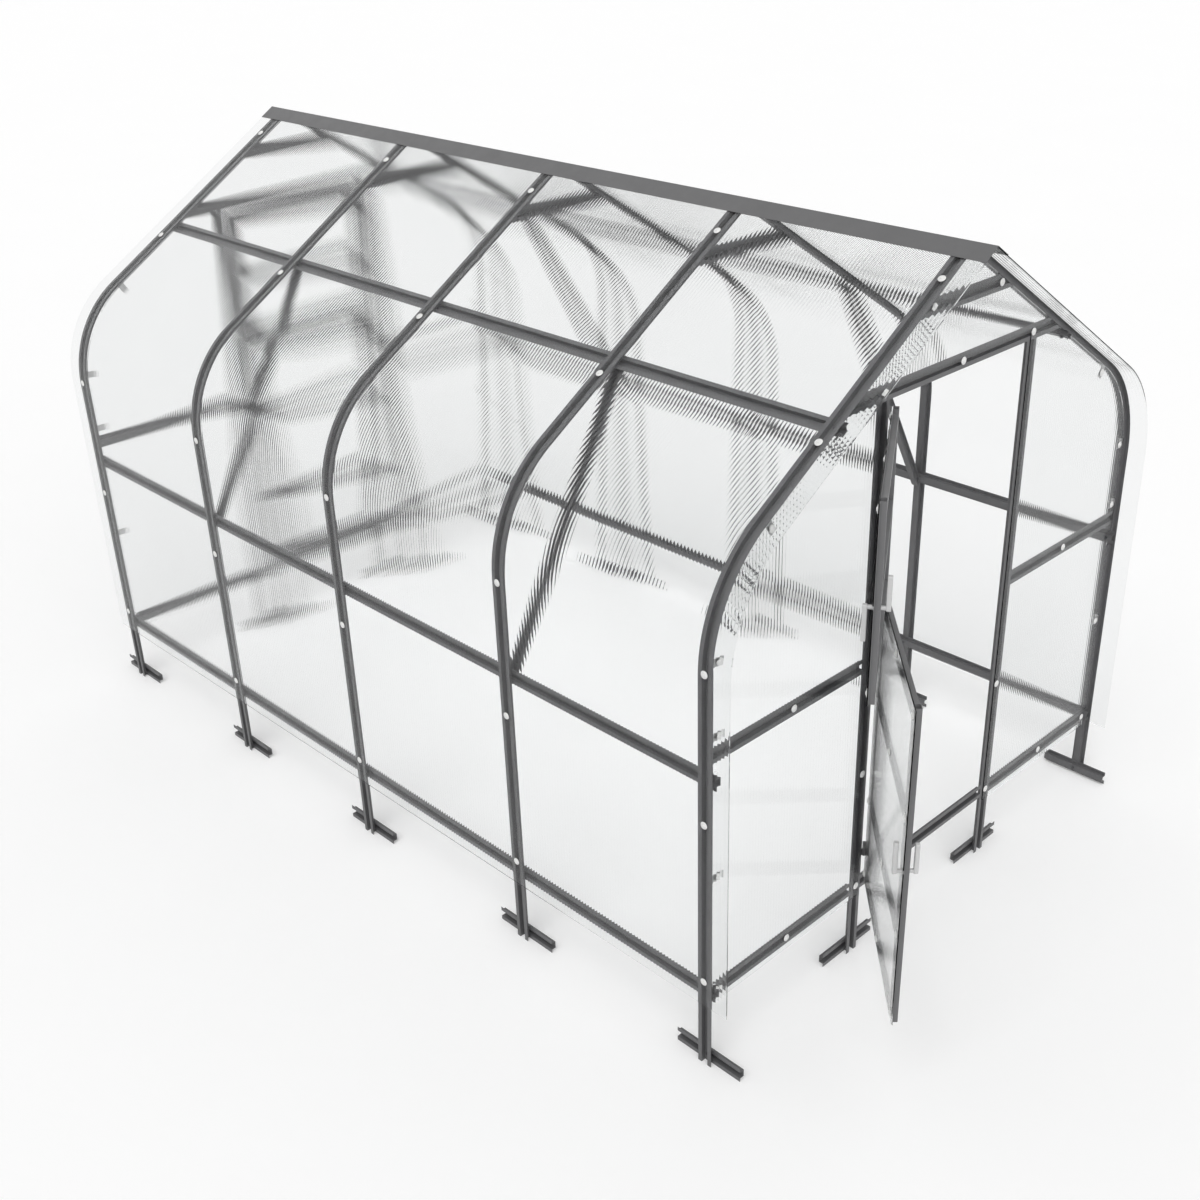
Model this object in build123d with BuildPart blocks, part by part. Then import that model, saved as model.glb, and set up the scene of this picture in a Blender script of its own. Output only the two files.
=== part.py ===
from build123d import *
import os
from math import cos, radians, sin, tan

# Polycarbonate greenhouse on steel arches, with a two-leaf stable door at each end.
# X runs across, the front door faces -Y, and the feet rest on z = 0.
# The origin lies under the middle of the whole outline, with the front door standing open.
# Lengths are in millimetres, angles in degrees.

# Hat profile that every frame member is folded from
profile_width = 60.0
channel_width = 30.0
profile_depth = 20.0
steel_thickness = 1.5

# Arches, measured to the outer faces of their flanges
arch_count = 5
arch_spacing = 1000.0
even_arch_shift = 22.0
half_width = 1272.0
apex_height = 2684.0
roof_angle = 32.5
eave_radius = 523.0
ridge_joint_gap = 0.4

# Rails, ties and braces
base_rail_height = 319.0
mid_rail_drop_from_eave = 387.0
purlin_step_from_lintel = 50.0
rail_end_overhang = 30.0
tie_drop_from_apex = 169.0
foot_bar_length = 300.0

# Bolts between the arches and the members behind them
bolt_diameter = 8.0
bolt_clearance = 0.1
bolt_head_diameter = 18.0
bolt_head_height = 5.0
bolt_nut_diameter = 16.0
bolt_nut_height = 6.0
bolt_tail = 2.0

# Twin-wall sheets and the ridge cap
sheet_thickness = 4.0
sheet_gap = 0.3
sheet_overhang = 105.0
sheet_seam = 0.5
sheet_hang_below_rail = 17.0
sheet_ridge_clearance = 8.0
cap_overhang = 108.0
cap_wing = 75.0
cap_thickness = 1.2

# End walls
wall_setback = 10.0
post_spacing = 880.0
lintel_drop_from_apex = 398.0
end_rail_step_above_mid_rail = 93.0
panel_gap = 0.6
panel_hang_below_rail = 21.0
panel_edge_from_post_centre = 13.0
notch_clearance = 1.5

# Clips that hold the end panels to the arches
clip_reach = 52.0
clip_length = 30.0
clip_foot = 18.0
clip_drop_from_mid_rail = 393.0
clip_rise_above_end_rail = 67.0
clip_rise_above_eave = 45.0
clip_step_from_slope_foot = 16.0
clip_seat_gap = 0.02

# Washers that clamp the sheets
washer_diameter = 28.0
washer_height = 3.5
screw_head_diameter = 13.0
screw_head_height = 2.5
washer_rise_above_base_rail = 60.0
washer_drop_from_mid_rail = 164.0
odd_washer_rise_above_eave = 12.0
even_washer_rise_above_eave = -9.0
washer_step_from_purlin = 70.0
washer_step_from_ridge = 146.0
panel_washer_inset = 50.0
wall_washer_across = 850.0
tie_washer_inset = 30.0
post_washer_rise = 509.0

# Door leaves
hinge_side_gap = 10.0
free_side_gap = 10.0
door_sill_gap = 6.0
door_lintel_gap = 14.0
door_leaf_gap = 10.0
door_split_height = 1583.0
lower_leaf_rail_rises = (360.0, 820.0)
leaf_panel_margin = 2.0
front_upper_angle = 146.4
front_lower_angle = 136.1
rear_leaf_angle = 0.0

# Lift-off hinges
hinge_diameter = 12.0
hinge_pin_diameter = 6.0
hinge_fit = 0.05
hinge_half_length = 30.0
hinge_step = 0.5
hinge_plate_thickness = 2.0
hinge_plate_margin = 1.0
hinge_inset = 120.0

# Turn latches
upper_latch_drop_from_rail = 10.0
lower_latch_rise = 617.0
spindle_diameter = 14.0
spindle_fit = 0.08
lever_thickness = 15.0
lever_width = 18.0
lever_standoff = 34.0
outer_lever_length = 112.0
inner_lever_length = 105.0
lever_edge_radius = 2.5

# Worked-out places
half_profile = profile_width / 2
half_channel = channel_width / 2
slope_sine = sin(radians(roof_angle))
slope_cosine = cos(radians(roof_angle))
slope_tangent = tan(radians(roof_angle))
eave_turn = 90.0 - roof_angle
eave_corner_height = apex_height - half_width * slope_tangent
eave_start_height = eave_corner_height - eave_radius * tan(radians(eave_turn / 2))
slope_foot_across = half_width - eave_radius * (1 - cos(radians(eave_turn)))
mid_rail_height = eave_start_height - mid_rail_drop_from_eave
end_mid_rail_height = mid_rail_height + end_rail_step_above_mid_rail
tie_height = apex_height - tie_drop_from_apex
lintel_height = apex_height - lintel_drop_from_apex
half_length = arch_spacing * (arch_count - 1) / 2
rail_end = half_length + rail_end_overhang
wall_plane = half_length + wall_setback
post_across = post_spacing / 2
foot_bar_height = half_profile
lintel_bottom = lintel_height - half_profile
lintel_half_length = (apex_height - profile_depth / slope_cosine - lintel_bottom) / slope_tangent
purlin_across = lintel_half_length + purlin_step_from_lintel
sill_top = base_rail_height + half_profile
rail_underside = base_rail_height - half_profile
sheet_bottom_height = rail_underside - sheet_hang_below_rail
panel_bottom_height = rail_underside - panel_hang_below_rail

# Rows of clips and washers
clip_slope_across = slope_foot_across - clip_step_from_slope_foot
clip_leg_heights = (
    mid_rail_height - clip_drop_from_mid_rail,
    end_mid_rail_height + clip_rise_above_end_rail,
)
side_washer_heights = (
    base_rail_height + washer_rise_above_base_rail,
    mid_rail_height - washer_drop_from_mid_rail,
)
side_washers_across = (purlin_across + washer_step_from_purlin, washer_step_from_ridge)
post_washer_heights = (base_rail_height, base_rail_height + post_washer_rise)

# Leaf places, measured from the hinge axis: along the leaf, then inwards
doorway_width = post_spacing - profile_width
leaf_axis_across = doorway_width / 2 - hinge_side_gap / 2
leaf_axis_outwards = wall_plane + hinge_diameter / 2
leaf_start = hinge_side_gap / 2
leaf_end = doorway_width - hinge_side_gap / 2 - free_side_gap
leaf_flange_depth = hinge_diameter / 2
leaf_panel_depth = leaf_flange_depth - sheet_thickness
leaf_crown_depth = leaf_flange_depth + profile_depth
hinge_stile = leaf_start + half_profile
free_stile = leaf_end - half_profile
lower_leaf_span = (sill_top + door_sill_gap, door_split_height - door_leaf_gap / 2)
upper_leaf_span = (door_split_height + door_leaf_gap / 2, lintel_bottom - door_lintel_gap)
leaf_middle_depth = (leaf_panel_depth + leaf_crown_depth) / 2
lower_leaf_rails = tuple(lower_leaf_span[0] + rise for rise in lower_leaf_rail_rises)
upper_leaf_rails = (sum(upper_leaf_span) / 2,)
upper_latch_height = upper_leaf_rails[0] - upper_latch_drop_from_rail
lower_latch_height = lower_leaf_span[0] + lower_latch_rise

# Distance from the origin back to the middle of the arches, which centres the outline with the door open
lower_turn = radians(front_lower_angle)
lever_tip_along = free_stile + lever_width / 2
lever_tip_depth = leaf_middle_depth + lever_standoff + lever_thickness / 2
front_reach = leaf_axis_outwards + lever_tip_along * sin(lower_turn) - lever_tip_depth * cos(lower_turn)
rear_reach = half_length + foot_bar_length / 2
arches_middle = (front_reach - rear_reach) / 2

# Frames in which the end walls and door leaves are drawn
front_wall = Plane(origin=(0, arches_middle, 0), x_dir=(1, 0, 0), z_dir=(0, 0, 1))
rear_wall = Plane(origin=(0, arches_middle, 0), x_dir=(-1, 0, 0), z_dir=(0, 0, 1))


def save(piece, name):
    """Labels a finished piece and writes it under its name."""
    piece.label = name
    export_step(piece, f"parts/{name}.step")


def point_in(frame, point):
    """A point given in a frame, in the part's own axes."""
    return frame.from_local_coords(Vector(*point))


def direction_in(frame, direction):
    """A direction given in a frame, in the part's own axes."""
    return point_in(frame, direction) - point_in(frame, (0, 0, 0))


def arch_place(number):
    """How far behind the middle one arch stands; the first is at the rear, the last at the front door."""
    shift = even_arch_shift if number % 2 == 0 else 0.0
    return half_length - (number - 1) * arch_spacing - shift


def slope_point(across, inset):
    """X and Z of a point on the right-hand slope, moved in from the outer faces by inset."""
    return across - inset * slope_sine, apex_height - across * slope_tangent - inset * slope_cosine


def across_at(height, inset):
    """X of a roof slope at a height, moved in from the outer faces by inset."""
    return (apex_height - inset / slope_cosine - height) / slope_tangent


def slope_plane(side, y, across, inset):
    """Plane on a roof slope that faces outwards."""
    x, z = slope_point(across, inset)
    origin = point_in(front_wall, (side * x, y, z))
    return Plane(origin=origin, x_dir=(0, side, 0), z_dir=(side * slope_sine, 0, slope_cosine))


def leg_plane(side, y, z, inset):
    """Plane on the straight part of an arch leg that faces outwards."""
    origin = point_in(front_wall, (side * (half_width - inset), y, z))
    return Plane(origin=origin, x_dir=(0, side, 0), z_dir=(side, 0, 0))


def eave_spot(rise, inset):
    """X, Z and outward direction on the right-hand eave, a length above its start, moved in by inset."""
    turn = max(rise, 0.0) / eave_radius
    reach = eave_radius - inset
    x = half_width - eave_radius + reach * cos(turn)
    z = eave_start_height + min(rise, 0.0) + reach * sin(turn)
    return x, z, (cos(turn), sin(turn))


def eave_plane(side, y, rise, inset):
    """Plane on an arch's eave that faces outwards."""
    x, z, (out, up) = eave_spot(rise, inset)
    origin = point_in(front_wall, (side * x, y, z))
    return Plane(origin=origin, x_dir=(0, side, 0), z_dir=(side * out, 0, up))


def arch_sketch(side, y):
    """Plane for drawing one side of an arch's outline, X outwards and Y up."""
    return Plane(origin=point_in(front_wall, (0, y, 0)), x_dir=(side, 0, 0), z_dir=(0, -side, 0))


def wall_sketch(frame, depth):
    """Plane for drawing on an end wall, X across and Y up, at a distance out from the part's middle."""
    return Plane(origin=point_in(frame, (0, -depth, 0)), x_dir=frame.x_dir, z_dir=-frame.y_dir)


def wall_spot(frame, across, height, depth):
    """Plane that faces out of an end wall at one point."""
    origin = point_in(frame, (across, -depth, height))
    return Plane(origin=origin, x_dir=frame.x_dir, z_dir=-frame.y_dir)


def hat_outline():
    """Corners of the hat profile: flanges on y = 0, crown below."""
    inside = half_channel - steel_thickness
    floor = steel_thickness - profile_depth
    return [
        (-half_profile, 0),
        (-inside, 0),
        (-inside, floor),
        (inside, floor),
        (inside, 0),
        (half_profile, 0),
        (half_profile, -steel_thickness),
        (half_channel, -steel_thickness),
        (half_channel, -profile_depth),
        (-half_channel, -profile_depth),
        (-half_channel, -steel_thickness),
        (-half_profile, -steel_thickness),
    ]


def trough_outline():
    """Corners of the profile without its flanges, for rail ends that run under a stile's flange."""
    inside = half_channel - steel_thickness
    floor = steel_thickness - profile_depth
    return [
        (-half_channel, -steel_thickness),
        (-inside, -steel_thickness),
        (-inside, floor),
        (inside, floor),
        (inside, -steel_thickness),
        (half_channel, -steel_thickness),
        (half_channel, -profile_depth),
        (-half_channel, -profile_depth),
    ]


def straight_bar(frame, start, end, outward, outline):
    """Straight length of a profile whose open side faces outward; start and end lie on the flange plane."""
    begin = point_in(frame, start)
    run = point_in(frame, end) - begin
    along = run.normalized()
    with BuildPart() as bar:
        section_plane = Plane(origin=begin, x_dir=direction_in(frame, outward).cross(along), z_dir=along)
        with BuildSketch(section_plane):
            with BuildLine():
                Polyline(*outline, close=True)
            make_face()
        extrude(amount=run.length)
    return bar.part


def hat_bar(frame, start, end, outward):
    """Straight length of the hat profile."""
    return straight_bar(frame, start, end, outward, hat_outline())


def drilled(piece, planes):
    """The piece with a bolt hole through its crown at each plane."""
    with BuildPart() as bored:
        add(piece)
        with Locations(*planes):
            Hole(radius=bolt_diameter / 2 + bolt_clearance, depth=profile_depth + steel_thickness)
    return bored.part


def trimmed(piece, planes):
    """The piece cut back to the inner side of each plane."""
    with BuildPart() as cut:
        add(piece)
        for plane in planes:
            split(bisect_by=plane, keep=Keep.BOTTOM)
    return cut.part


def repeated(piece, planes):
    """A group of like pieces, one on each plane."""
    with BuildPart() as group:
        with Locations(*planes):
            add(piece)
    return group.part


def joined(pieces):
    """Several pieces in one node; those that touch become one solid."""
    with BuildPart() as group:
        for piece in pieces:
            add(piece)
    return group.part


def eave_outline(inset):
    """Right-hand eave: leg top, arc middle and slope foot, moved in from the outer faces by inset."""
    radius = eave_radius - inset
    centre = (half_width - eave_radius, eave_start_height)
    angles = (0.0, eave_turn / 2, eave_turn)
    return [(centre[0] + radius * cos(radians(a)), centre[1] + radius * sin(radians(a))) for a in angles]


def half_arch(side, number):
    """One half of an arch: leg, curved eave and roof slope, cut at the ridge."""
    y = arch_place(number)
    leg_top, eave_middle, slope_foot = eave_outline(0.0)
    past_ridge = -profile_depth
    with BuildPart() as arch:
        with BuildLine(arch_sketch(side, y)) as route:
            Line((half_width, 0), leg_top)
            ThreePointArc(leg_top, eave_middle, slope_foot)
            Line(slope_foot, (past_ridge, apex_height - past_ridge * slope_tangent))
        foot_middle = point_in(front_wall, (side * half_width, y, 0))
        foot = Plane(origin=foot_middle, x_dir=(0, -side, 0), z_dir=(0, 0, 1))
        with BuildSketch(foot) as section:
            with BuildLine():
                Polyline(*hat_outline(), close=True)
            make_face()
        sweep(sections=section.sketch, path=route.wires()[0])
        split(bisect_by=Plane(origin=(side * ridge_joint_gap / 2, 0, 0), z_dir=(side, 0, 0)), keep=Keep.TOP)
    leg_holes = [leg_plane(side, y, z, 0) for z in (foot_bar_height, base_rail_height, mid_rail_height)]
    return drilled(arch.part, leg_holes + [slope_plane(side, y, purlin_across, 0)])


def side_rail(side, height):
    """Rail along one side, behind the arch legs."""
    x = side * (half_width - profile_depth)
    rail = hat_bar(front_wall, (x, -rail_end, height), (x, rail_end, height), (side, 0, 0))
    return drilled(rail, [leg_plane(side, y, height, profile_depth) for y in arch_places])


def roof_purlin(side):
    """Purlin along one slope, under the arches."""
    x, z = slope_point(purlin_across, profile_depth)
    outward = (side * slope_sine, 0, slope_cosine)
    purlin = hat_bar(front_wall, (side * x, -rail_end, z), (side * x, rail_end, z), outward)
    return drilled(purlin, [slope_plane(side, y, purlin_across, profile_depth) for y in arch_places])


def roof_trims(y):
    """Planes of the two crowns under the slopes, facing up and out."""
    return [slope_plane(side, y, purlin_across, profile_depth) for side in (-1, 1)]


def cross_bar(frame, depth, height):
    """Bar from slope to slope in an arch's plane, its ends cut to fit under the crowns."""
    reach = half_width
    bar = hat_bar(frame, (-reach, -depth, height), (reach, -depth, height), (0, -1, 0))
    return trimmed(bar, roof_trims(0))


def knee_brace(side, number):
    """Strut in an arch's plane from the roof purlin down to the mid rail."""
    y = arch_place(number)
    top_x, top_z = slope_point(purlin_across, 2 * profile_depth)
    low_x, low_z = half_width - 2 * profile_depth, mid_rail_height
    run = Vector(top_x - low_x, 0, top_z - low_z).normalized()
    spare = profile_width * 2
    outward = (side * run.Z, 0, -run.X)
    start = (side * (low_x - spare * run.X), y, low_z - spare * run.Z)
    end = (side * (top_x + spare * run.X), y, top_z + spare * run.Z)
    purlin_seat = slope_plane(side, y, purlin_across, 2 * profile_depth)
    rail_seat = leg_plane(side, y, low_z, 2 * profile_depth)
    return trimmed(hat_bar(front_wall, start, end, outward), [purlin_seat, rail_seat])


def bolt():
    """Bolt on the outer faces' plane, pointing in: head on the arch's crown, nut behind the rail's crown."""
    head_seat = steel_thickness - profile_depth
    nut_seat = -2 * profile_depth
    tail = nut_seat - bolt_nut_height - bolt_tail
    shank = bolt_diameter / 2
    with BuildPart() as fastener:
        with BuildSketch(Plane.XZ):
            with BuildLine():
                Polyline(
                    (0, head_seat + bolt_head_height),
                    (bolt_head_diameter / 2, head_seat + bolt_head_height),
                    (bolt_head_diameter / 2, head_seat),
                    (shank, head_seat),
                    (shank, nut_seat),
                    (bolt_nut_diameter / 2, nut_seat),
                    (bolt_nut_diameter / 2, nut_seat - bolt_nut_height),
                    (shank, nut_seat - bolt_nut_height),
                    (shank, tail),
                    (0, tail),
                    close=True,
                )
            make_face()
        revolve(axis=Axis.Z)
    return fastener.part


def bolt_places():
    """Planes of every bolt: rails, purlins and foot bars on the arches, foot bars on the posts."""
    places = []
    for y in arch_places:
        for side in (-1, 1):
            for height in (foot_bar_height, base_rail_height, mid_rail_height):
                places.append(leg_plane(side, y, height, 0))
            places.append(slope_plane(side, y, purlin_across, 0))
    for wall in (front_wall, rear_wall):
        for side in (-1, 1):
            places.append(wall_spot(wall, side * post_across, foot_bar_height, wall_plane))
    return places


def washer():
    """Clamping washer with a shallow domed rim and a round screw head, standing on XY."""
    rim = washer_diameter / 2
    head = screw_head_diameter / 2
    shoulder = washer_height / 2
    with BuildPart() as clamp:
        with BuildSketch(Plane.XZ):
            with BuildLine():
                Polyline(
                    (0, 0),
                    (rim, 0),
                    (rim, shoulder),
                    (rim - shoulder, washer_height),
                    (head, washer_height),
                    (head, washer_height + screw_head_height),
                    (0, washer_height + screw_head_height),
                    close=True,
                )
            make_face()
        revolve(axis=Axis.Z)
    return clamp.part


def side_washer_places():
    """Planes on the outside of the side sheets, over the arches."""
    outside = -(sheet_gap + sheet_thickness)
    places = []
    for number, y in enumerate(arch_places, start=1):
        rise = even_washer_rise_above_eave if number % 2 == 0 else odd_washer_rise_above_eave
        for side in (-1, 1):
            places += [leg_plane(side, y, z, outside) for z in side_washer_heights]
            places.append(eave_plane(side, y, rise, outside))
            places += [slope_plane(side, y, across, outside) for across in side_washers_across]
    return places


def wall_washer_places(wall):
    """Planes on the outside of one end wall's panels."""
    face = wall_plane + sheet_thickness
    spots = [(0.0, lintel_height)]
    eave_x, eave_z, _ = eave_spot(clip_rise_above_eave, panel_washer_inset)
    slope_x, slope_z = slope_point(clip_slope_across, panel_washer_inset)
    rail_end_across = half_width - 2 * profile_depth - washer_diameter / 2 - 2 * notch_clearance
    tie_washer_across = across_at(tie_height, profile_depth) - tie_washer_inset
    for side in (-1, 1):
        spots += [(side * (half_width - panel_washer_inset), z) for z in clip_leg_heights]
        spots += [(side * eave_x, eave_z), (side * slope_x, slope_z)]
        spots.append((side * rail_end_across, base_rail_height))
        spots += [(side * wall_washer_across, z) for z in (base_rail_height, end_mid_rail_height)]
        spots += [(side * post_across, lintel_height), (side * tie_washer_across, tie_height)]
        edge = post_across - panel_edge_from_post_centre + washer_diameter / 2
        spots += [(side * edge, z) for z in post_washer_heights]
    return [wall_spot(wall, x, z, face) for x, z in spots]


def panel_clip(seat):
    """Angle clip on an arch's crown: its foot lies on the seat plane and its tab backs the panel."""
    with BuildPart() as clip:
        with BuildSketch(seat):
            Rectangle(clip_foot, clip_length, align=(Align.MIN, Align.CENTER))
        extrude(amount=steel_thickness)
        with BuildSketch(seat):
            Rectangle(steel_thickness, clip_length, align=(Align.MIN, Align.CENTER))
        extrude(amount=clip_reach)
    return clip.part


def clip_seats(wall):
    """Planes on the crowns of an end arch, X running in from the panel's back and Z into the doorway."""
    seats = []
    crown_radius = eave_radius - profile_depth
    foot_sag = crown_radius - (crown_radius**2 - clip_length**2 / 4) ** 0.5
    eave_seat = profile_depth + foot_sag + clip_seat_gap
    eave_x, eave_z, (out, up) = eave_spot(clip_rise_above_eave, eave_seat)
    slope_x, slope_z = slope_point(clip_slope_across, profile_depth)
    for side in (-1, 1):
        spots = [((side * (half_width - profile_depth), z), (-side, 0, 0)) for z in clip_leg_heights]
        spots.append(((side * eave_x, eave_z), (-side * out, 0, -up)))
        spots.append(((side * slope_x, slope_z), (-side * slope_sine, 0, -slope_cosine)))
        for (x, z), inward in spots:
            origin = point_in(wall, (x, -wall_plane, z))
            seats.append(Plane(origin=origin, x_dir=wall.y_dir, z_dir=direction_in(wall, inward)))
    return seats


def side_sheet(side, y_from, y_to):
    """Sheet bent round one side from below the base rail to the ridge."""
    near = -sheet_gap
    far = -(sheet_gap + sheet_thickness)
    inner = eave_outline(near)
    outer = eave_outline(far)
    inner_ridge = slope_point(sheet_ridge_clearance, near)
    outer_ridge = slope_point(sheet_ridge_clearance, far)
    with BuildPart() as sheet:
        with BuildSketch(arch_sketch(side, y_from if side < 0 else y_to)):
            with BuildLine():
                Line((half_width - near, sheet_bottom_height), inner[0])
                ThreePointArc(*inner)
                Line(inner[2], inner_ridge)
                Line(inner_ridge, outer_ridge)
                Line(outer_ridge, outer[2])
                ThreePointArc(*reversed(outer))
                Line(outer[0], (half_width - far, sheet_bottom_height))
                Line((half_width - far, sheet_bottom_height), (half_width - near, sheet_bottom_height))
            make_face()
        extrude(amount=y_to - y_from)
    return sheet.part


def ridge_cap():
    """Folded cap over the meeting edges of the roof sheets."""
    under = -(2 * sheet_gap + sheet_thickness)
    over = under - cap_thickness
    wing_across = cap_wing * slope_cosine
    under_edge = slope_point(wing_across, under)
    over_edge = slope_point(wing_across, over)
    reach = half_length + cap_overhang
    with BuildPart() as cap:
        with BuildSketch(arch_sketch(1, -reach)):
            with BuildLine():
                Polyline(
                    (0, apex_height - under / slope_cosine),
                    under_edge,
                    over_edge,
                    (0, apex_height - over / slope_cosine),
                    (-over_edge[0], over_edge[1]),
                    (-under_edge[0], under_edge[1]),
                    close=True,
                )
            make_face()
        extrude(amount=-2 * reach)
    return cap.part


def end_panels(wall):
    """Panels either side of the doorway and the gable above it."""
    inset = profile_depth + panel_gap
    edge = eave_outline(inset)
    top = lintel_height - sheet_seam / 2
    gable_foot = lintel_height + sheet_seam / 2
    slope_top = (across_at(top, inset), top)
    gable_corner = (across_at(gable_foot, inset), gable_foot)
    doorway = post_across - panel_edge_from_post_centre
    notch_depth = profile_depth + notch_clearance
    notch_length = profile_width + 2 * notch_clearance
    rail_middle = half_width - profile_depth - notch_depth / 2
    purlin_spot = slope_point(purlin_across, profile_depth + notch_depth / 2)
    foot_notch = base_rail_height + half_profile + notch_clearance - panel_bottom_height
    with BuildPart() as panels:
        with BuildSketch(wall_sketch(wall, wall_plane)):
            with BuildLine():
                Line((half_width - inset, panel_bottom_height), edge[0])
                ThreePointArc(*edge)
                Line(edge[2], slope_top)
                Line(slope_top, (doorway, top))
                Line((doorway, top), (doorway, panel_bottom_height))
                Line((doorway, panel_bottom_height), (half_width - inset, panel_bottom_height))
            make_face()
            with Locations((rail_middle, mid_rail_height)):
                Rectangle(notch_depth, notch_length, mode=Mode.SUBTRACT)
            with Locations((rail_middle, panel_bottom_height + foot_notch / 2)):
                Rectangle(notch_depth, foot_notch, mode=Mode.SUBTRACT)
            with Locations(purlin_spot):
                Rectangle(notch_length, notch_depth, rotation=-roof_angle, mode=Mode.SUBTRACT)
            mirror(about=Plane.YZ)
            with BuildLine():
                Polyline(
                    gable_corner,
                    (0, apex_height - inset / slope_cosine),
                    (-gable_corner[0], gable_corner[1]),
                    close=True,
                )
            make_face()
        extrude(amount=sheet_thickness)
    return panels.part


def end_base_rails(wall):
    """Base rail of an end wall in three lengths, between the side rails and the posts."""
    lengths = [
        (post_across - half_profile, -(post_across - half_profile)),
        (half_width - 2 * profile_depth, post_across + half_profile),
        (-(post_across + half_profile), -(half_width - 2 * profile_depth)),
    ]
    at = -wall_plane
    rails = [
        hat_bar(wall, (x_from, at, base_rail_height), (x_to, at, base_rail_height), (0, -1, 0))
        for x_from, x_to in lengths
    ]
    return joined(rails)


def end_mid_rails(wall):
    """Mid rails of an end wall, from the arch to the post on each side."""
    at = -wall_plane
    rails = []
    for side in (-1, 1):
        start = (side * (post_across + half_profile), at, end_mid_rail_height)
        end = (side * (half_width - profile_depth), at, end_mid_rail_height)
        rails.append(hat_bar(wall, start, end, (0, -1, 0)))
    return joined(rails)


def door_post(wall, side):
    """Post beside a doorway, from its foot bar up to the lintel."""
    x = side * post_across
    post = hat_bar(wall, (x, -wall_plane, 0), (x, -wall_plane, lintel_bottom), (0, -1, 0))
    return drilled(post, [wall_spot(wall, x, foot_bar_height, wall_plane)])


def foot_bars():
    """Short bars across the feet of the arch legs and door posts."""
    bars = []
    half_bar = foot_bar_length / 2
    z = foot_bar_height
    for side in (-1, 1):
        x = side * (half_width - profile_depth)
        for y in arch_places:
            bar = hat_bar(front_wall, (x, y - half_bar, z), (x, y + half_bar, z), (side, 0, 0))
            bars.append(drilled(bar, [leg_plane(side, y, z, profile_depth)]))
        for wall in (front_wall, rear_wall):
            at = profile_depth - wall_plane
            middle = side * post_across
            bar = hat_bar(wall, (middle - half_bar, at, z), (middle + half_bar, at, z), (0, -1, 0))
            bars.append(drilled(bar, [wall_spot(wall, middle, z, -at)]))
    return joined(bars)


def leaf_frame_plane(wall, angle):
    """Frame of a door leaf opened by angle: X along the leaf from the hinge axis, Y inwards, Z up."""
    origin = point_in(wall, (-leaf_axis_across, -leaf_axis_outwards, 0))
    along = direction_in(wall, (cos(radians(angle)), -sin(radians(angle)), 0))
    return Plane(origin=origin, x_dir=along, z_dir=(0, 0, 1))


def hinge_heights(span):
    """Heights of a leaf's hinge steps."""
    return [span[0] + hinge_inset, span[1] - hinge_inset]


def hinge_half(frame, span, side, bottom):
    """Plates and barrels of one side of a leaf's hinges; bottom is each barrel's foot above the step."""
    with BuildPart() as halves:
        for step in hinge_heights(span):
            base = Plane(origin=point_in(frame, (0, 0, step + bottom)), x_dir=frame.x_dir, z_dir=(0, 0, 1))
            with BuildSketch(base):
                Circle(hinge_diameter / 2)
                reach = leaf_start + half_profile - half_channel - hinge_plate_margin
                with Locations((side * reach / 2, leaf_flange_depth - hinge_plate_thickness / 2)):
                    Rectangle(reach, hinge_plate_thickness)
            extrude(amount=hinge_half_length)
    return halves.part


def hinge_pins(wall, span):
    """Fixed hinge halves on a post, each with its pin standing up."""
    frame = leaf_frame_plane(wall, 0.0)
    with BuildPart() as pins:
        add(hinge_half(frame, span, -1, -hinge_half_length))
        for step in hinge_heights(span):
            with BuildSketch(Plane(origin=point_in(frame, (0, 0, step)), z_dir=(0, 0, 1))):
                Circle(hinge_pin_diameter / 2)
            extrude(amount=hinge_step + hinge_half_length)
    return pins.part


def leaf_frame(frame, span, rails, latch_height):
    """Welded frame of one leaf: two stiles, its rails and the hinge sleeves."""
    low, high = span
    flange = leaf_flange_depth
    outward = (0, -1, 0)
    heights = [low + half_profile, *rails, high - half_profile]
    pieces = [hat_bar(frame, (x, flange, low), (x, flange, high), outward) for x in (hinge_stile, free_stile)]
    for z in heights:
        flange_from = (hinge_stile + half_profile, flange, z)
        flange_to = (free_stile - half_profile, flange, z)
        trough_from = (hinge_stile + half_channel, flange, z)
        trough_to = (free_stile - half_channel, flange, z)
        pieces.append(hat_bar(frame, flange_from, flange_to, outward))
        pieces.append(straight_bar(frame, trough_from, trough_to, outward, trough_outline()))
    pieces.append(hinge_half(frame, span, 1, hinge_step))
    with BuildPart() as leaf:
        add(joined(pieces))
        for step in hinge_heights(span):
            top = point_in(frame, (0, 0, step + hinge_step + hinge_half_length))
            with Locations(Plane(origin=top, z_dir=(0, 0, 1))):
                Hole(radius=hinge_pin_diameter / 2 + hinge_fit, depth=hinge_half_length)
        with Locations(wall_spot(frame, free_stile, latch_height, -leaf_flange_depth)):
            Hole(radius=spindle_diameter / 2 + spindle_fit, depth=profile_depth)
    return leaf.part


def leaf_panel(frame, span, latch_height):
    """Sheet on the outer face of a leaf, clear of its hinge plates."""
    low = span[0] + leaf_panel_margin
    high = span[1] - leaf_panel_margin
    hinge_edge = hinge_stile - half_channel
    free_edge = leaf_end - leaf_panel_margin
    with BuildPart() as panel:
        with BuildSketch(wall_sketch(frame, -leaf_flange_depth)):
            with Locations(((hinge_edge + free_edge) / 2, (low + high) / 2)):
                Rectangle(free_edge - hinge_edge, high - low)
            with Locations((free_stile, latch_height)):
                Circle(spindle_diameter / 2 + spindle_fit, mode=Mode.SUBTRACT)
        extrude(amount=sheet_thickness)
    return panel.part


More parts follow.
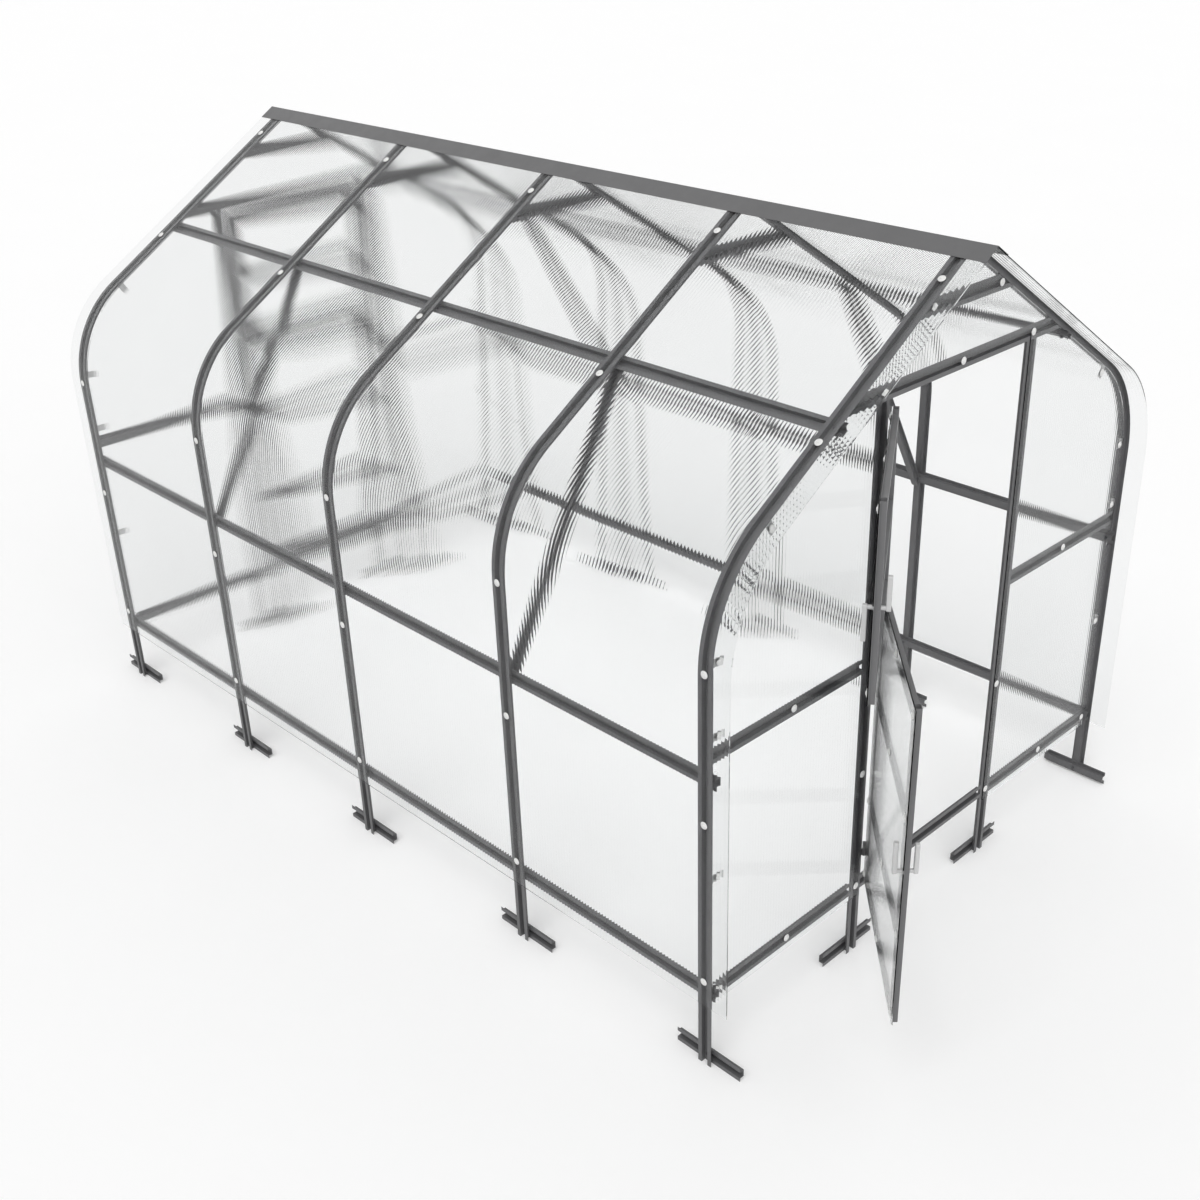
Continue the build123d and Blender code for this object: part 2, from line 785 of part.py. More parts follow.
def leaf_washer_places(frame, span, rails, latch_height):
    """Planes on the outside of a leaf's panel, along its rails, leaving out any spot the latch turns over."""
    heights = [span[0] + half_profile, *rails, span[1] - half_profile]
    middle = (hinge_stile + free_stile) / 2
    near_hinge = hinge_stile - half_channel + washer_diameter / 2
    spots = [(x, z) for z in heights for x in (near_hinge, middle)]
    spots += [(free_stile, z) for z in heights if abs(z - latch_height) > washer_diameter + spindle_diameter]
    return [wall_spot(frame, x, z, -leaf_panel_depth) for x, z in spots]


def latch_lever(frame, depth, height, length):
    """Lever of a turn latch, at a depth in the leaf, from the spindle up or, with a negative length, down."""
    low = min(length, 0) - (lever_width / 2 if length > 0 else 0)
    high = max(length, 0) + (lever_width / 2 if length < 0 else 0)
    middle = point_in(frame, (free_stile, depth - lever_thickness / 2, height + (low + high) / 2))
    with BuildPart() as lever:
        with BuildSketch(Plane(origin=middle, x_dir=frame.x_dir, z_dir=-frame.y_dir)):
            RectangleRounded(lever_width, high - low, lever_width / 3)
        extrude(amount=-lever_thickness)
        rims = lever.faces().filter_by(Axis((0, 0, 0), frame.y_dir)).edges()
        fillet(rims, lever_edge_radius)
    return lever.part


def turn_latch(frame, height, outer_length):
    """Spindle through a leaf's free stile with a lever at each end."""
    outer = leaf_middle_depth - lever_standoff
    inner = leaf_middle_depth + lever_standoff
    with BuildPart() as latch:
        with BuildSketch(wall_spot(frame, free_stile, height, -outer)):
            Circle(spindle_diameter / 2)
        extrude(amount=-(inner - outer))
        add(latch_lever(frame, outer, height, outer_length))
        add(latch_lever(frame, inner, height, inner_lever_length))
    return latch.part


arch_places = [arch_place(number) for number in range(1, arch_count + 1)]
side_names = {-1: "left", 1: "right"}
walls = {"front": front_wall, "rear": rear_wall}
leaf_spans = {"upper": upper_leaf_span, "lower": lower_leaf_span}
leaf_rails = {"upper": upper_leaf_rails, "lower": lower_leaf_rails}
latch_heights = {"upper": upper_latch_height, "lower": lower_latch_height}
outer_levers = {"upper": -outer_lever_length, "lower": outer_lever_length}
leaf_angles = {
    ("front", "upper"): front_upper_angle,
    ("front", "lower"): front_lower_angle,
    ("rear", "upper"): rear_leaf_angle,
    ("rear", "lower"): rear_leaf_angle,
}

os.makedirs("parts", exist_ok=True)

# Arches, with their ties and braces
for number in range(1, arch_count + 1):
    for side, side_name in side_names.items():
        save(half_arch(side, number), f"arch_{number}_{side_name}")
inner_ties = [cross_bar(front_wall, wall_setback - y, tie_height) for y in arch_places[1:-1]]
save(joined(inner_ties), "inner_collar_ties")
for place, wall in walls.items():
    save(cross_bar(wall, wall_plane, tie_height), f"{place}_collar_tie")
for side, side_name in side_names.items():
    braces = [knee_brace(side, number) for number in range(2, arch_count, 2)]
    save(joined(braces), f"knee_braces_{side_name}")

# Rails along the sides and roof
for side, side_name in side_names.items():
    save(side_rail(side, base_rail_height), f"base_rail_{side_name}")
    save(side_rail(side, mid_rail_height), f"mid_rail_{side_name}")
    save(roof_purlin(side), f"roof_purlin_{side_name}")

# Side sheets and ridge cap
sheet_end = half_length + sheet_overhang
sheet_reaches = {"front": (-sheet_end, -sheet_seam / 2), "rear": (sheet_seam / 2, sheet_end)}
for side, side_name in side_names.items():
    for place, reach in sheet_reaches.items():
        save(side_sheet(side, *reach), f"side_sheet_{place}_{side_name}")
save(ridge_cap(), "ridge_cap")

# Feet and fasteners of the frame
save(foot_bars(), "foot_bars")
save(repeated(bolt(), bolt_places()), "frame_bolts")
washer_places = side_washer_places() + wall_washer_places(front_wall) + wall_washer_places(rear_wall)
save(repeated(washer(), washer_places), "frame_washers")
save(joined([panel_clip(seat) for wall in walls.values() for seat in clip_seats(wall)]), "panel_clips")

# End walls
for place, wall in walls.items():
    for side, side_name in side_names.items():
        save(door_post(wall, side), f"{place}_post_{side_name}")
    save(cross_bar(wall, wall_plane, lintel_height), f"{place}_lintel")
    save(end_base_rails(wall), f"{place}_base_rails")
    save(end_mid_rails(wall), f"{place}_mid_rails")
    save(end_panels(wall), f"{place}_panels")
post_halves = [hinge_pins(wall, span) for wall in walls.values() for span in leaf_spans.values()]
save(joined(post_halves), "hinge_pins")

# Door leaves and their latches
for (place, level), angle in leaf_angles.items():
    name = f"{place}_{level}"
    frame = leaf_frame_plane(walls[place], angle)
    span = leaf_spans[level]
    rails = leaf_rails[level]
    save(leaf_frame(frame, span, rails, latch_heights[level]), f"{name}_leaf_frame")
    save(leaf_panel(frame, span, latch_heights[level]), f"{name}_leaf_panel")
    leaf_washers = leaf_washer_places(frame, span, rails, latch_heights[level])
    save(repeated(washer(), leaf_washers), f"{name}_leaf_washers")
    save(turn_latch(frame, latch_heights[level], outer_levers[level]), f"{name}_latch")
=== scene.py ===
from math import cos, pi, radians, sin, sqrt, tan

import bmesh
import bpy
import numpy as np
from bpy.props import FloatProperty, FloatVectorProperty, IntProperty, PointerProperty
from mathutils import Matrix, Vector


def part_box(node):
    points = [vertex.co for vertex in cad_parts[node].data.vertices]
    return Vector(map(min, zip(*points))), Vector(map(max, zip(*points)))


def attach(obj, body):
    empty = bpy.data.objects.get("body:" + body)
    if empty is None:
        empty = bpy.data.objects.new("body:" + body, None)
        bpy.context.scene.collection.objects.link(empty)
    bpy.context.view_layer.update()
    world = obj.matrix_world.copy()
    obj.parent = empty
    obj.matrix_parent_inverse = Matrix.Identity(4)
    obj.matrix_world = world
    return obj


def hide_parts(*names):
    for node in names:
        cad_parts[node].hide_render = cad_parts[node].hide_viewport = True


bl_info = {
    "name": "Greenhouse finish",
    "version": (1, 0, 0),
    "blender": (4, 5, 0),
    "location": "3D View > Sidebar > Greenhouse",
    "description": "Fluted sheets, fasteners, painted steel and a pale studio for a greenhouse",
    "category": "Object",
}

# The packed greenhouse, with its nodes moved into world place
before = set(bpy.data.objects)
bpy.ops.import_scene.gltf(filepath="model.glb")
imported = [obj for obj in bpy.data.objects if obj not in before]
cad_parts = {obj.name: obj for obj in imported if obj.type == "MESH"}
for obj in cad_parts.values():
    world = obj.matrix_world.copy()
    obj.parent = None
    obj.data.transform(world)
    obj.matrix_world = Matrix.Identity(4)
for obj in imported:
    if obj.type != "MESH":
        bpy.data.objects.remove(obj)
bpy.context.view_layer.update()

# Arches, in metres, measured to the outer faces of their flanges
arch_depth = 0.020
roof_angle = radians(32.5)
eave_radius = 0.523
half_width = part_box("arch_1_right")[1].x
ridge_joint_half_gap = 0.0002
apex_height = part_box("arch_1_right")[1].z + ridge_joint_half_gap * tan(roof_angle)
arch_row = [sum(v.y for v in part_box(f"arch_{number}_left")) / 2 for number in range(1, 6)]
arches_middle = (arch_row[0] + arch_row[-1]) / 2

# Sheets and end walls
sheet_thickness = 0.004
sheet_gap = 0.0003
ridge_clearance = 0.008
seam = 0.0005
panel_gap = 0.0006
notch_clearance = 0.0015
profile_width = 0.060
wall_plane = abs(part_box("front_panels")[1].y - arches_middle)
lintel_height = sum(v.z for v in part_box("front_lintel")) / 2
mid_rail_height = sum(v.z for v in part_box("mid_rail_left")) / 2
base_rail_height = sum(v.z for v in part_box("base_rail_left")) / 2
panel_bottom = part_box("front_panels")[0].z
purlin_across = 0.6846
doorway_edge = 0.427
gable_corner_trim = 0.0005

# Door leaves, measured from the hinge axis: along the leaf, then inwards
leaf_axis_across = 0.405
hinge_stand_off = 0.006
leaf_axis_outwards = wall_plane + hinge_stand_off
leaf_panel_along = (0.020, 0.803)
leaf_panel_inner_face = 0.006
leaf_free_stile = 0.775
spindle_hole = 0.0162
leaf_angles = {
    "front_upper": radians(146.4),
    "front_lower": radians(136.1),
    "rear_upper": 0.0,
    "rear_lower": 0.0,
}
latch_heights = {"upper": 1.905, "lower": 0.972}

# Share of a flute that the groove along its rib takes up
groove_share = 0.25

# Edges that turn by more than this stay crisp, and points closer than these are one
crease_angle = radians(38.0)
made_points_merge = 0.00001
packed_points_merge = 0.000001

# Turned profiles, as fractions of a piece's radius and height, from the foot's centre round to the top's
washer_profile = (
    (0.0, 0.0),
    (1.0, 0.0),
    (1.0, 0.18),
    (0.93, 0.38),
    (0.62, 0.57),
    (0.47, 0.5),
    (0.44, 0.86),
    (0.33, 1.0),
    (0.0, 1.0),
)
collar_profile = ((0.0, 0.0), (1.0, 0.0), (1.0, 0.55), (0.86, 1.0), (0.0, 1.0))
hex_profile = ((0.0, 0.0), (0.9, 0.0), (1.0, 0.1), (1.0, 0.85), (0.87, 1.0), (0.0, 1.0))
stud_profile = ((0.0, 0.0), (0.82, 0.0), (1.0, 0.05), (1.0, 1.0), (0.0, 1.0))
collar_facets = 24
hex_facets = 6
stud_facets = 12
collar_share_of_head = 0.3

# How a packed washer and bolt are read: the share of its radius that is rim, and the depth of its end
rim_share = 0.95
bolt_end_depth = 0.001

# Sockets of a mix node that hold its two colours, and the one that gives the result
mix_first = 6
mix_second = 7
mix_result = 2

# Floor, lamps and camera of the stage, and the matt bounces that hide the bright background
floor_reach = 90.0
key_direction = (0.55, 0.25, -0.9)
fill_direction = (0.35, 0.85, -0.4)
camera_place = (-4.1558, -4.4279, 3.8923)
camera_turn = (radians(62.536), radians(0.717), radians(-45.793))
sensor_width = 36.0
lens_shift = -0.05
view_reach = 400.0
matt_bounce_limit = 0.5

# Which finish each slot of the packed model wears
slot_finishes = {
    "frame_steel": "frame_paint",
    "cap_steel": "cap_paint",
    "hinge_steel": "hinge_paint",
    "bolt_steel": "bolt_plating",
    "clip_steel": "clip_zinc",
    "washer_plastic": "washer_plastic",
    "latch_plastic": "latch_plastic",
    "clear_sheet": "clear_sheet",
}


def length_setting(name, description, default, **limits):
    """A setting in metres."""
    return FloatProperty(name=name, description=description, default=default, unit="LENGTH", **limits)


def strength_setting(name, description, default):
    """A setting that is zero or more."""
    return FloatProperty(name=name, description=description, default=default, min=0.0)


def colour_setting(name, description, default):
    """A setting that holds a colour."""
    return FloatVectorProperty(name=name, description=description, default=default, subtype="COLOR")


class GreenhouseSheets(bpy.types.PropertyGroup):
    """Sizes and looks of the fluted clear sheets."""

    flute_pitch: length_setting("Flute pitch", "Distance from one flute to the next", 0.015, min=0.004)
    flute_depth: length_setting(
        "Flute depth",
        "How far each wall bows in from the middle of a flute to its ribs",
        0.0002,
        min=0.0,
        precision=5,
    )
    groove_depth: length_setting(
        "Groove depth",
        "Depth of the narrow groove that each rib draws into both walls",
        0.0004,
        min=0.0,
        precision=5,
    )
    flute_steps: IntProperty(
        name="Steps per flute",
        description="Mesh columns across one flute",
        default=8,
        min=4,
    )
    eave_steps: IntProperty(
        name="Steps round the eave",
        description="Mesh rows round the bent eave",
        default=14,
        min=4,
    )
    tint: colour_setting(
        "Tint",
        "Colour that one sheet gives to light passing through it",
        (0.935, 0.94, 0.94),
    )
    refraction: FloatProperty(
        name="Refraction",
        description="Index of refraction of the sheet",
        default=1.18,
        min=1.0,
    )


class GreenhouseFasteners(bpy.types.PropertyGroup):
    """Sizes of the washers and bolts."""

    washer_diameter: length_setting("Washer diameter", "Diameter of a clamping washer", 0.028)
    washer_height: length_setting("Washer height", "Height of a washer with its cap", 0.006)
    washer_segments: IntProperty(
        name="Washer segments",
        description="Faces round a washer",
        default=20,
        min=8,
    )
    bolt_diameter: length_setting("Bolt diameter", "Diameter of a bolt's shank", 0.008)
    collar_diameter: length_setting("Collar diameter", "Diameter of the collar under the head", 0.018)
    hex_diameter: length_setting(
        "Hexagon diameter",
        "Size of a bolt's head and nut over their corners",
        0.0155,
    )
    head_height: length_setting("Head height", "Height of a bolt's head with its collar", 0.005)
    grip: length_setting("Grip", "Thickness that a bolt clamps, from collar to nut", 0.0215)
    nut_height: length_setting("Nut height", "Height of a bolt's nut", 0.006)
    tail: length_setting("Tail", "Thread that stands out of the nut", 0.002)


class GreenhouseFinish(bpy.types.PropertyGroup):
    """Colours of the steel and plastic."""

    frame_colour: colour_setting("Frame", "Paint of the arches, rails and posts", (0.105, 0.105, 0.108))
    cap_colour: colour_setting("Ridge cap", "Paint of the ridge cap", (0.108, 0.108, 0.11))
    # The leaves' paint is the frame's paint set lighter: a painted highlight for the light that falls on
    # the door leaves
    leaf_colour: colour_setting("Door leaves", "Paint of the door leaves' frames", (0.135, 0.135, 0.138))
    hinge_colour: colour_setting("Hinges", "Paint of the hinges", (0.085, 0.085, 0.088))
    bolt_colour: colour_setting("Bolts", "Dark plating of the bolts", (0.10, 0.10, 0.105))
    clip_colour: colour_setting("Clips", "Zinc plating of the panel clips", (0.5, 0.5, 0.5))
    washer_colour: colour_setting("Washers", "Plastic of the washers", (0.76, 0.76, 0.75))
    latch_colour: colour_setting("Latches", "Plastic of the turn latches", (0.52, 0.52, 0.52))


class GreenhouseStage(bpy.types.PropertyGroup):
    """Floor, light and camera."""

    floor_colour: colour_setting("Floor", "Colour of the studio floor", (0.86, 0.86, 0.86))
    floor_glow: strength_setting("Floor glow", "Lift of the floor towards white in the picture", 0.145)
    sky_strength: strength_setting("Sky strength", "Strength of the even light from all round", 0.56)
    key_strength: strength_setting("Key strength", "Strength of the soft key light", 1.1)
    key_softness: FloatProperty(
        name="Key softness",
        description="Angle that the key light spreads over",
        default=radians(40.0),
        subtype="ANGLE",
    )
    fill_strength: strength_setting("Fill strength", "Strength of the low light on the door end", 1.0)
    fill_softness: FloatProperty(
        name="Fill softness",
        description="Angle that the low light spreads over",
        default=radians(70.0),
        subtype="ANGLE",
    )
    lens: FloatProperty(
        name="Lens",
        description="Focal length of the camera in millimetres",
        default=44.5,
        min=10.0,
    )


settings_groups = {
    "greenhouse_sheets": GreenhouseSheets,
    "greenhouse_fasteners": GreenhouseFasteners,
    "greenhouse_finish": GreenhouseFinish,
    "greenhouse_stage": GreenhouseStage,
}


# Shader helpers


def add_node(tree, kind, **values):
    """A new node with some of its own properties set."""
    node = tree.nodes.new(kind)
    for key, value in values.items():
        setattr(node, key, value)
    return node


def set_inputs(node, **values):
    """Sets a node's inputs; an underscore in a name stands for a space."""
    for key, value in values.items():
        node.inputs[key.replace("_", " ")].default_value = value
    return node


def math_node(tree, operation, *values):
    """Output of a maths node; each value is a number or another output."""
    node = add_node(tree, "ShaderNodeMath", operation=operation)
    for socket, value in zip(node.inputs, values):
        if isinstance(value, (int, float)):
            socket.default_value = value
        else:
            tree.links.new(value, socket)
    return node.outputs[0]


def new_material(name):
    """An empty node material with its output and shader."""
    material = bpy.data.materials.new(name)
    material.use_nodes = True
    tree = material.node_tree
    tree.nodes.clear()
    output = add_node(tree, "ShaderNodeOutputMaterial")
    shader = add_node(tree, "ShaderNodeBsdfPrincipled")
    tree.links.new(shader.outputs["BSDF"], output.inputs["Surface"])
    return material, tree, shader, output


def noise(tree, place, scale, detail=3.0, roughness=0.55):
    """A noise value between 0 and 1 on the piece's own coordinates."""
    node = add_node(tree, "ShaderNodeTexNoise", noise_dimensions="3D")
    set_inputs(node, Scale=scale, Detail=detail, Roughness=roughness)
    tree.links.new(place, node.inputs["Vector"])
    return node.outputs["Fac"]


def spread(tree, value, low, high, start=0.3, end=0.7):
    """A value carried from start and end over to low and high."""
    node = add_node(tree, "ShaderNodeMapRange")
    set_inputs(node, From_Min=start, From_Max=end, To_Min=low, To_Max=high)
    tree.links.new(value, node.inputs["Value"])
    return node.outputs["Result"]


def mix_towards(tree, value, base, shade):
    """A colour moved towards a shade; the base is a colour or another output."""
    node = add_node(tree, "ShaderNodeMix", data_type="RGBA")
    tree.links.new(value, node.inputs["Factor"])
    if isinstance(base, tuple):
        node.inputs[mix_first].default_value = (*base, 1.0)
    else:
        tree.links.new(base, node.inputs[mix_first])
    node.inputs[mix_second].default_value = (*shade, 1.0)
    return node.outputs[mix_result]


def scaled(colour, factor):
    """A colour made darker or lighter."""
    return tuple(min(1.0, channel * factor) for channel in colour)


def clouded(tree, place, colour, dark, light, **grain):
    """A colour that drifts between a darker and a lighter shade of itself."""
    return mix_towards(tree, noise(tree, place, **grain), scaled(colour, dark), scaled(colour, light))


def object_place(tree):
    """The piece's own coordinates."""
    return add_node(tree, "ShaderNodeTexCoord").outputs["Object"]


def bump(tree, shader, height, distance, strength):
    """Raises a surface by a height value."""
    node = add_node(tree, "ShaderNodeBump")
    set_inputs(node, Strength=strength, Distance=distance)
    tree.links.new(height, node.inputs["Height"])
    tree.links.new(node.outputs["Normal"], shader.inputs["Normal"])


# Finishes


def painted_steel(name, colour):
    """Satin powder coat: orange-peel skin, slight cloudiness, faint dust and small light scuffs."""
    material, tree, shader, _ = new_material(name)
    place = object_place(tree)
    body = clouded(tree, place, colour, dark=0.86, light=1.14, scale=7.0, detail=4.0)
    specks = noise(tree, place, scale=260.0, detail=2.0, roughness=0.7)
    fleck = spread(tree, specks, low=0.0, high=0.5, start=0.69, end=0.78)
    scuffed = scaled(colour, 2.1)
    coat = mix_towards(tree, fleck, body, scuffed)
    tree.links.new(coat, shader.inputs["Base Color"])
    sheen = spread(tree, noise(tree, place, scale=21.0, detail=5.0, roughness=0.6), low=0.36, high=0.5)
    tree.links.new(sheen, shader.inputs["Roughness"])
    set_inputs(shader, Metallic=0.0, IOR=1.5)
    skin = noise(tree, place, scale=700.0, detail=2.0, roughness=0.5)
    bump(tree, shader, skin, distance=0.0002, strength=0.22)
    return material


def plated_steel(name, colour):
    """Plating: brushed tone, uneven gloss and a pitted skin."""
    material, tree, shader, _ = new_material(name)
    place = object_place(tree)
    body = clouded(tree, place, colour, dark=0.7, light=1.35, scale=160.0, detail=4.0, roughness=0.6)
    tree.links.new(body, shader.inputs["Base Color"])
    gloss = spread(tree, noise(tree, place, scale=420.0, detail=3.0), low=0.28, high=0.5)
    tree.links.new(gloss, shader.inputs["Roughness"])
    set_inputs(shader, Metallic=0.75)
    pits = noise(tree, place, scale=1400.0, detail=2.0)
    bump(tree, shader, pits, distance=0.0001, strength=0.2)
    return material


def moulded_plastic(name, colour):
    """Moulded plastic: faint flow marks, soft gloss and a fine spark-eroded skin."""
    material, tree, shader, _ = new_material(name)
    place = object_place(tree)
    body = clouded(tree, place, colour, dark=0.93, light=1.05, scale=34.0, detail=4.0, roughness=0.6)
    smudges = noise(tree, place, scale=120.0, detail=5.0, roughness=0.7)
    grime = spread(tree, smudges, low=0.0, high=0.25, start=0.6, end=0.78)
    soiled = scaled(colour, 0.62)
    coat = mix_towards(tree, grime, body, soiled)
    tree.links.new(coat, shader.inputs["Base Color"])
    gloss = spread(tree, noise(tree, place, scale=75.0, detail=3.0), low=0.24, high=0.4)
    tree.links.new(gloss, shader.inputs["Roughness"])
    set_inputs(shader, Metallic=0.0, IOR=1.5)
    skin = noise(tree, place, scale=2200.0, detail=2.0)
    bump(tree, shader, skin, distance=0.0001, strength=0.12)
    return material


def clear_sheet(name, sheets):
    """Clear twin-wall sheet: faint tint and haze; light that only casts shadows goes straight through."""
    material, tree, shader, output = new_material(name)
    place = object_place(tree)
    tint = tuple(sheets.tint)
    body = clouded(tree, place, tint, dark=0.985, light=1.012, scale=2.6, detail=4.0, roughness=0.6)
    tree.links.new(body, shader.inputs["Base Color"])
    bloom = noise(tree, place, scale=9.0, detail=5.0, roughness=0.65)
    haze = spread(tree, bloom, low=0.0, high=0.035, start=0.35, end=0.75)
    tree.links.new(haze, shader.inputs["Roughness"])
    set_inputs(shader, IOR=sheets.refraction, Transmission_Weight=1.0)
    ripple = noise(tree, place, scale=5.5, detail=2.0, roughness=0.4)
    bump(tree, shader, ripple, distance=0.01, strength=0.03)
    shade_colour = scaled(tint, 0.985)
    pass_through = add_node(tree, "ShaderNodeBsdfTransparent")
    set_inputs(pass_through, Color=(*shade_colour, 1.0))
    light_path = add_node(tree, "ShaderNodeLightPath")
    choice = add_node(tree, "ShaderNodeMixShader")
    tree.links.new(light_path.outputs["Is Shadow Ray"], choice.inputs["Fac"])
    tree.links.new(shader.outputs["BSDF"], choice.inputs[1])
    tree.links.new(pass_through.outputs["BSDF"], choice.inputs[2])
    tree.links.new(choice.outputs["Shader"], output.inputs["Surface"])
    return material


# How each coloured finish is made, and the setting that holds its colour
coloured_finishes = {
    "frame_paint": (painted_steel, "frame_colour"),
    # A lighter copy of the frame paint: painted highlight on the door leaves
    "leaf_paint": (painted_steel, "leaf_colour"),
    "cap_paint": (painted_steel, "cap_colour"),
    "hinge_paint": (painted_steel, "hinge_colour"),
    "bolt_plating": (plated_steel, "bolt_colour"),
    "clip_zinc": (plated_steel, "clip_colour"),
    "washer_plastic": (moulded_plastic, "washer_colour"),
    "latch_plastic": (moulded_plastic, "latch_colour"),
}


def make_finish(name, scene):
    """A new finish by name."""
    if name == "clear_sheet":
        return clear_sheet(name, scene.greenhouse_sheets)
    maker, colour = coloured_finishes[name]
    return maker(name, tuple(getattr(scene.greenhouse_finish, colour)))


def finish_named(finish_name, scene):
    """A finish by name, made once, and named apart from the packed model's own plain one."""
    name = "greenhouse_" + finish_name
    existing = bpy.data.materials.get(name)
    if existing:
        return existing
    made = make_finish(finish_name, scene)
    made.name = name
    return made


def finish_of(slot, scene):
    """The finish that a slot wears."""
    return finish_named(slot_finishes[slot], scene)


# Geometry node trees


def new_tree(name, sizes, counts=()):
    """An empty geometry tree that takes in a geometry, a material, and named sizes and counts."""
    tree = bpy.data.node_groups.new(name, "GeometryNodeTree")
    kinds = {"Geometry": "NodeSocketGeometry", "Material": "NodeSocketMaterial"}
    kinds.update(dict.fromkeys(sizes, "NodeSocketFloat"))
    kinds.update(dict.fromkeys(counts, "NodeSocketInt"))
    for key, kind in kinds.items():
        tree.interface.new_socket(key, in_out="INPUT", socket_type=kind)
    tree.interface.new_socket("Geometry", in_out="OUTPUT", socket_type="NodeSocketGeometry")
    return tree, add_node(tree, "NodeGroupInput"), add_node(tree, "NodeGroupOutput")


def fed_node(tree, kind, geometry, **values):
    """A new node that takes a geometry in at its first socket."""
    node = add_node(tree, kind, **values)
    tree.links.new(geometry, node.inputs[0])
    return node


def named_value(tree, name, kind):
    """A value that the points carry under a name."""
    node = add_node(tree, "GeometryNodeInputNamedAttribute", data_type=kind)
    return set_inputs(node, Name=name).outputs["Attribute"]


def store_value(tree, geometry, name, kind, value):
    """A geometry whose points carry a value under a name."""
    node = fed_node(tree, "GeometryNodeStoreNamedAttribute", geometry, data_type=kind, domain="POINT")
    set_inputs(node, Name=name)
    tree.links.new(value, node.inputs["Value"])
    return node.outputs["Geometry"]


def merged(tree, geometry):
    """A shape whose touching points are made one."""
    node = fed_node(tree, "GeometryNodeMergeByDistance", geometry)
    return set_inputs(node, Distance=made_points_merge).outputs["Geometry"]


def vector_scale(tree, vector, factor):
    """A vector made longer or shorter."""
    node = add_node(tree, "ShaderNodeVectorMath", operation="SCALE")
    tree.links.new(vector, node.inputs[0])
    tree.links.new(factor, node.inputs["Scale"])
    return node.outputs[0]


def end_tree(tree, geometry, group_input, group_output):
    """Realizes what a tree has made, gives it its material and hands it out."""
    real = fed_node(tree, "GeometryNodeRealizeInstances", geometry)
    paint = fed_node(tree, "GeometryNodeSetMaterial", real.outputs["Geometry"])
    tree.links.new(group_input.outputs["Material"], paint.inputs["Material"])
    tree.links.new(paint.outputs["Geometry"], group_output.inputs["Geometry"])


def creased(tree, geometry):
    """A smooth shape with its sharp corners kept crisp."""
    angle = add_node(tree, "GeometryNodeInputMeshEdgeAngle")
    crease = math_node(tree, "GREATER_THAN", angle.outputs["Unsigned Angle"], crease_angle)
    smooth = fed_node(tree, "GeometryNodeSetShadeSmooth", geometry, domain="FACE")
    set_inputs(smooth, Shade_Smooth=True)
    sharp = fed_node(tree, "GeometryNodeSetShadeSmooth", smooth.outputs["Geometry"], domain="EDGE")
    set_inputs(sharp, Shade_Smooth=False)
    tree.links.new(crease, sharp.inputs["Selection"])
    return sharp.outputs["Geometry"]


def flute_dip(tree, group_input):
    """How far a wall dips at each point: a shallow bow between two ribs, and a groove along each rib."""
    across = named_value(tree, "across", "FLOAT")
    flutes = math_node(tree, "DIVIDE", across, group_input.outputs["Flute Pitch"])
    from_middle = math_node(tree, "PINGPONG", flutes, 0.5)
    aside = math_node(tree, "SUBTRACT", 1.0, math_node(tree, "MULTIPLY", from_middle, 2.0))
    bent = math_node(tree, "MULTIPLY", aside, aside)
    bow = math_node(tree, "MULTIPLY", bent, group_input.outputs["Flute Depth"])
    near_rib = math_node(tree, "MAXIMUM", math_node(tree, "SUBTRACT", aside, 1.0 - groove_share), 0.0)
    rise = math_node(tree, "MULTIPLY", near_rib, 1.0 / groove_share)
    groove = math_node(tree, "MULTIPLY", rise, group_input.outputs["Groove Depth"])
    return math_node(tree, "ADD", bow, groove)


def fluted_sheet_tree():
    """Gives a flat or bent face its thickness and dips both walls between the flutes."""
    tree, given, made = new_tree(
        "Fluted sheet",
        ("Thickness", "Flute Pitch", "Flute Depth", "Groove Depth"),
    )
    link = tree.links.new
    normal = add_node(tree, "GeometryNodeInputNormal").outputs["Normal"]
    facing = store_value(tree, given.outputs["Geometry"], "outward", "FLOAT_VECTOR", normal)
    thick = fed_node(tree, "GeometryNodeExtrudeMesh", facing, mode="FACES")
    set_inputs(thick, Individual=False)
    link(given.outputs["Thickness"], thick.inputs["Offset Scale"])
    outer = store_value(tree, thick.outputs["Mesh"], "outer_wall", "BOOLEAN", thick.outputs["Top"])
    inner = fed_node(tree, "GeometryNodeFlipFaces", facing)
    both = fed_node(tree, "GeometryNodeJoinGeometry", outer)
    link(inner.outputs["Mesh"], both.inputs["Geometry"])
    way = math_node(tree, "MULTIPLY_ADD", named_value(tree, "outer_wall", "BOOLEAN"), -2.0, 1.0)
    dip = math_node(tree, "MULTIPLY", flute_dip(tree, given), way)
    outward = named_value(tree, "outward", "FLOAT_VECTOR")
    fluted = fed_node(tree, "GeometryNodeSetPosition", merged(tree, both.outputs["Geometry"]))
    link(vector_scale(tree, outward, dip), fluted.inputs["Offset"])
    end_tree(tree, creased(tree, fluted.outputs["Geometry"]), given, made)
    return tree


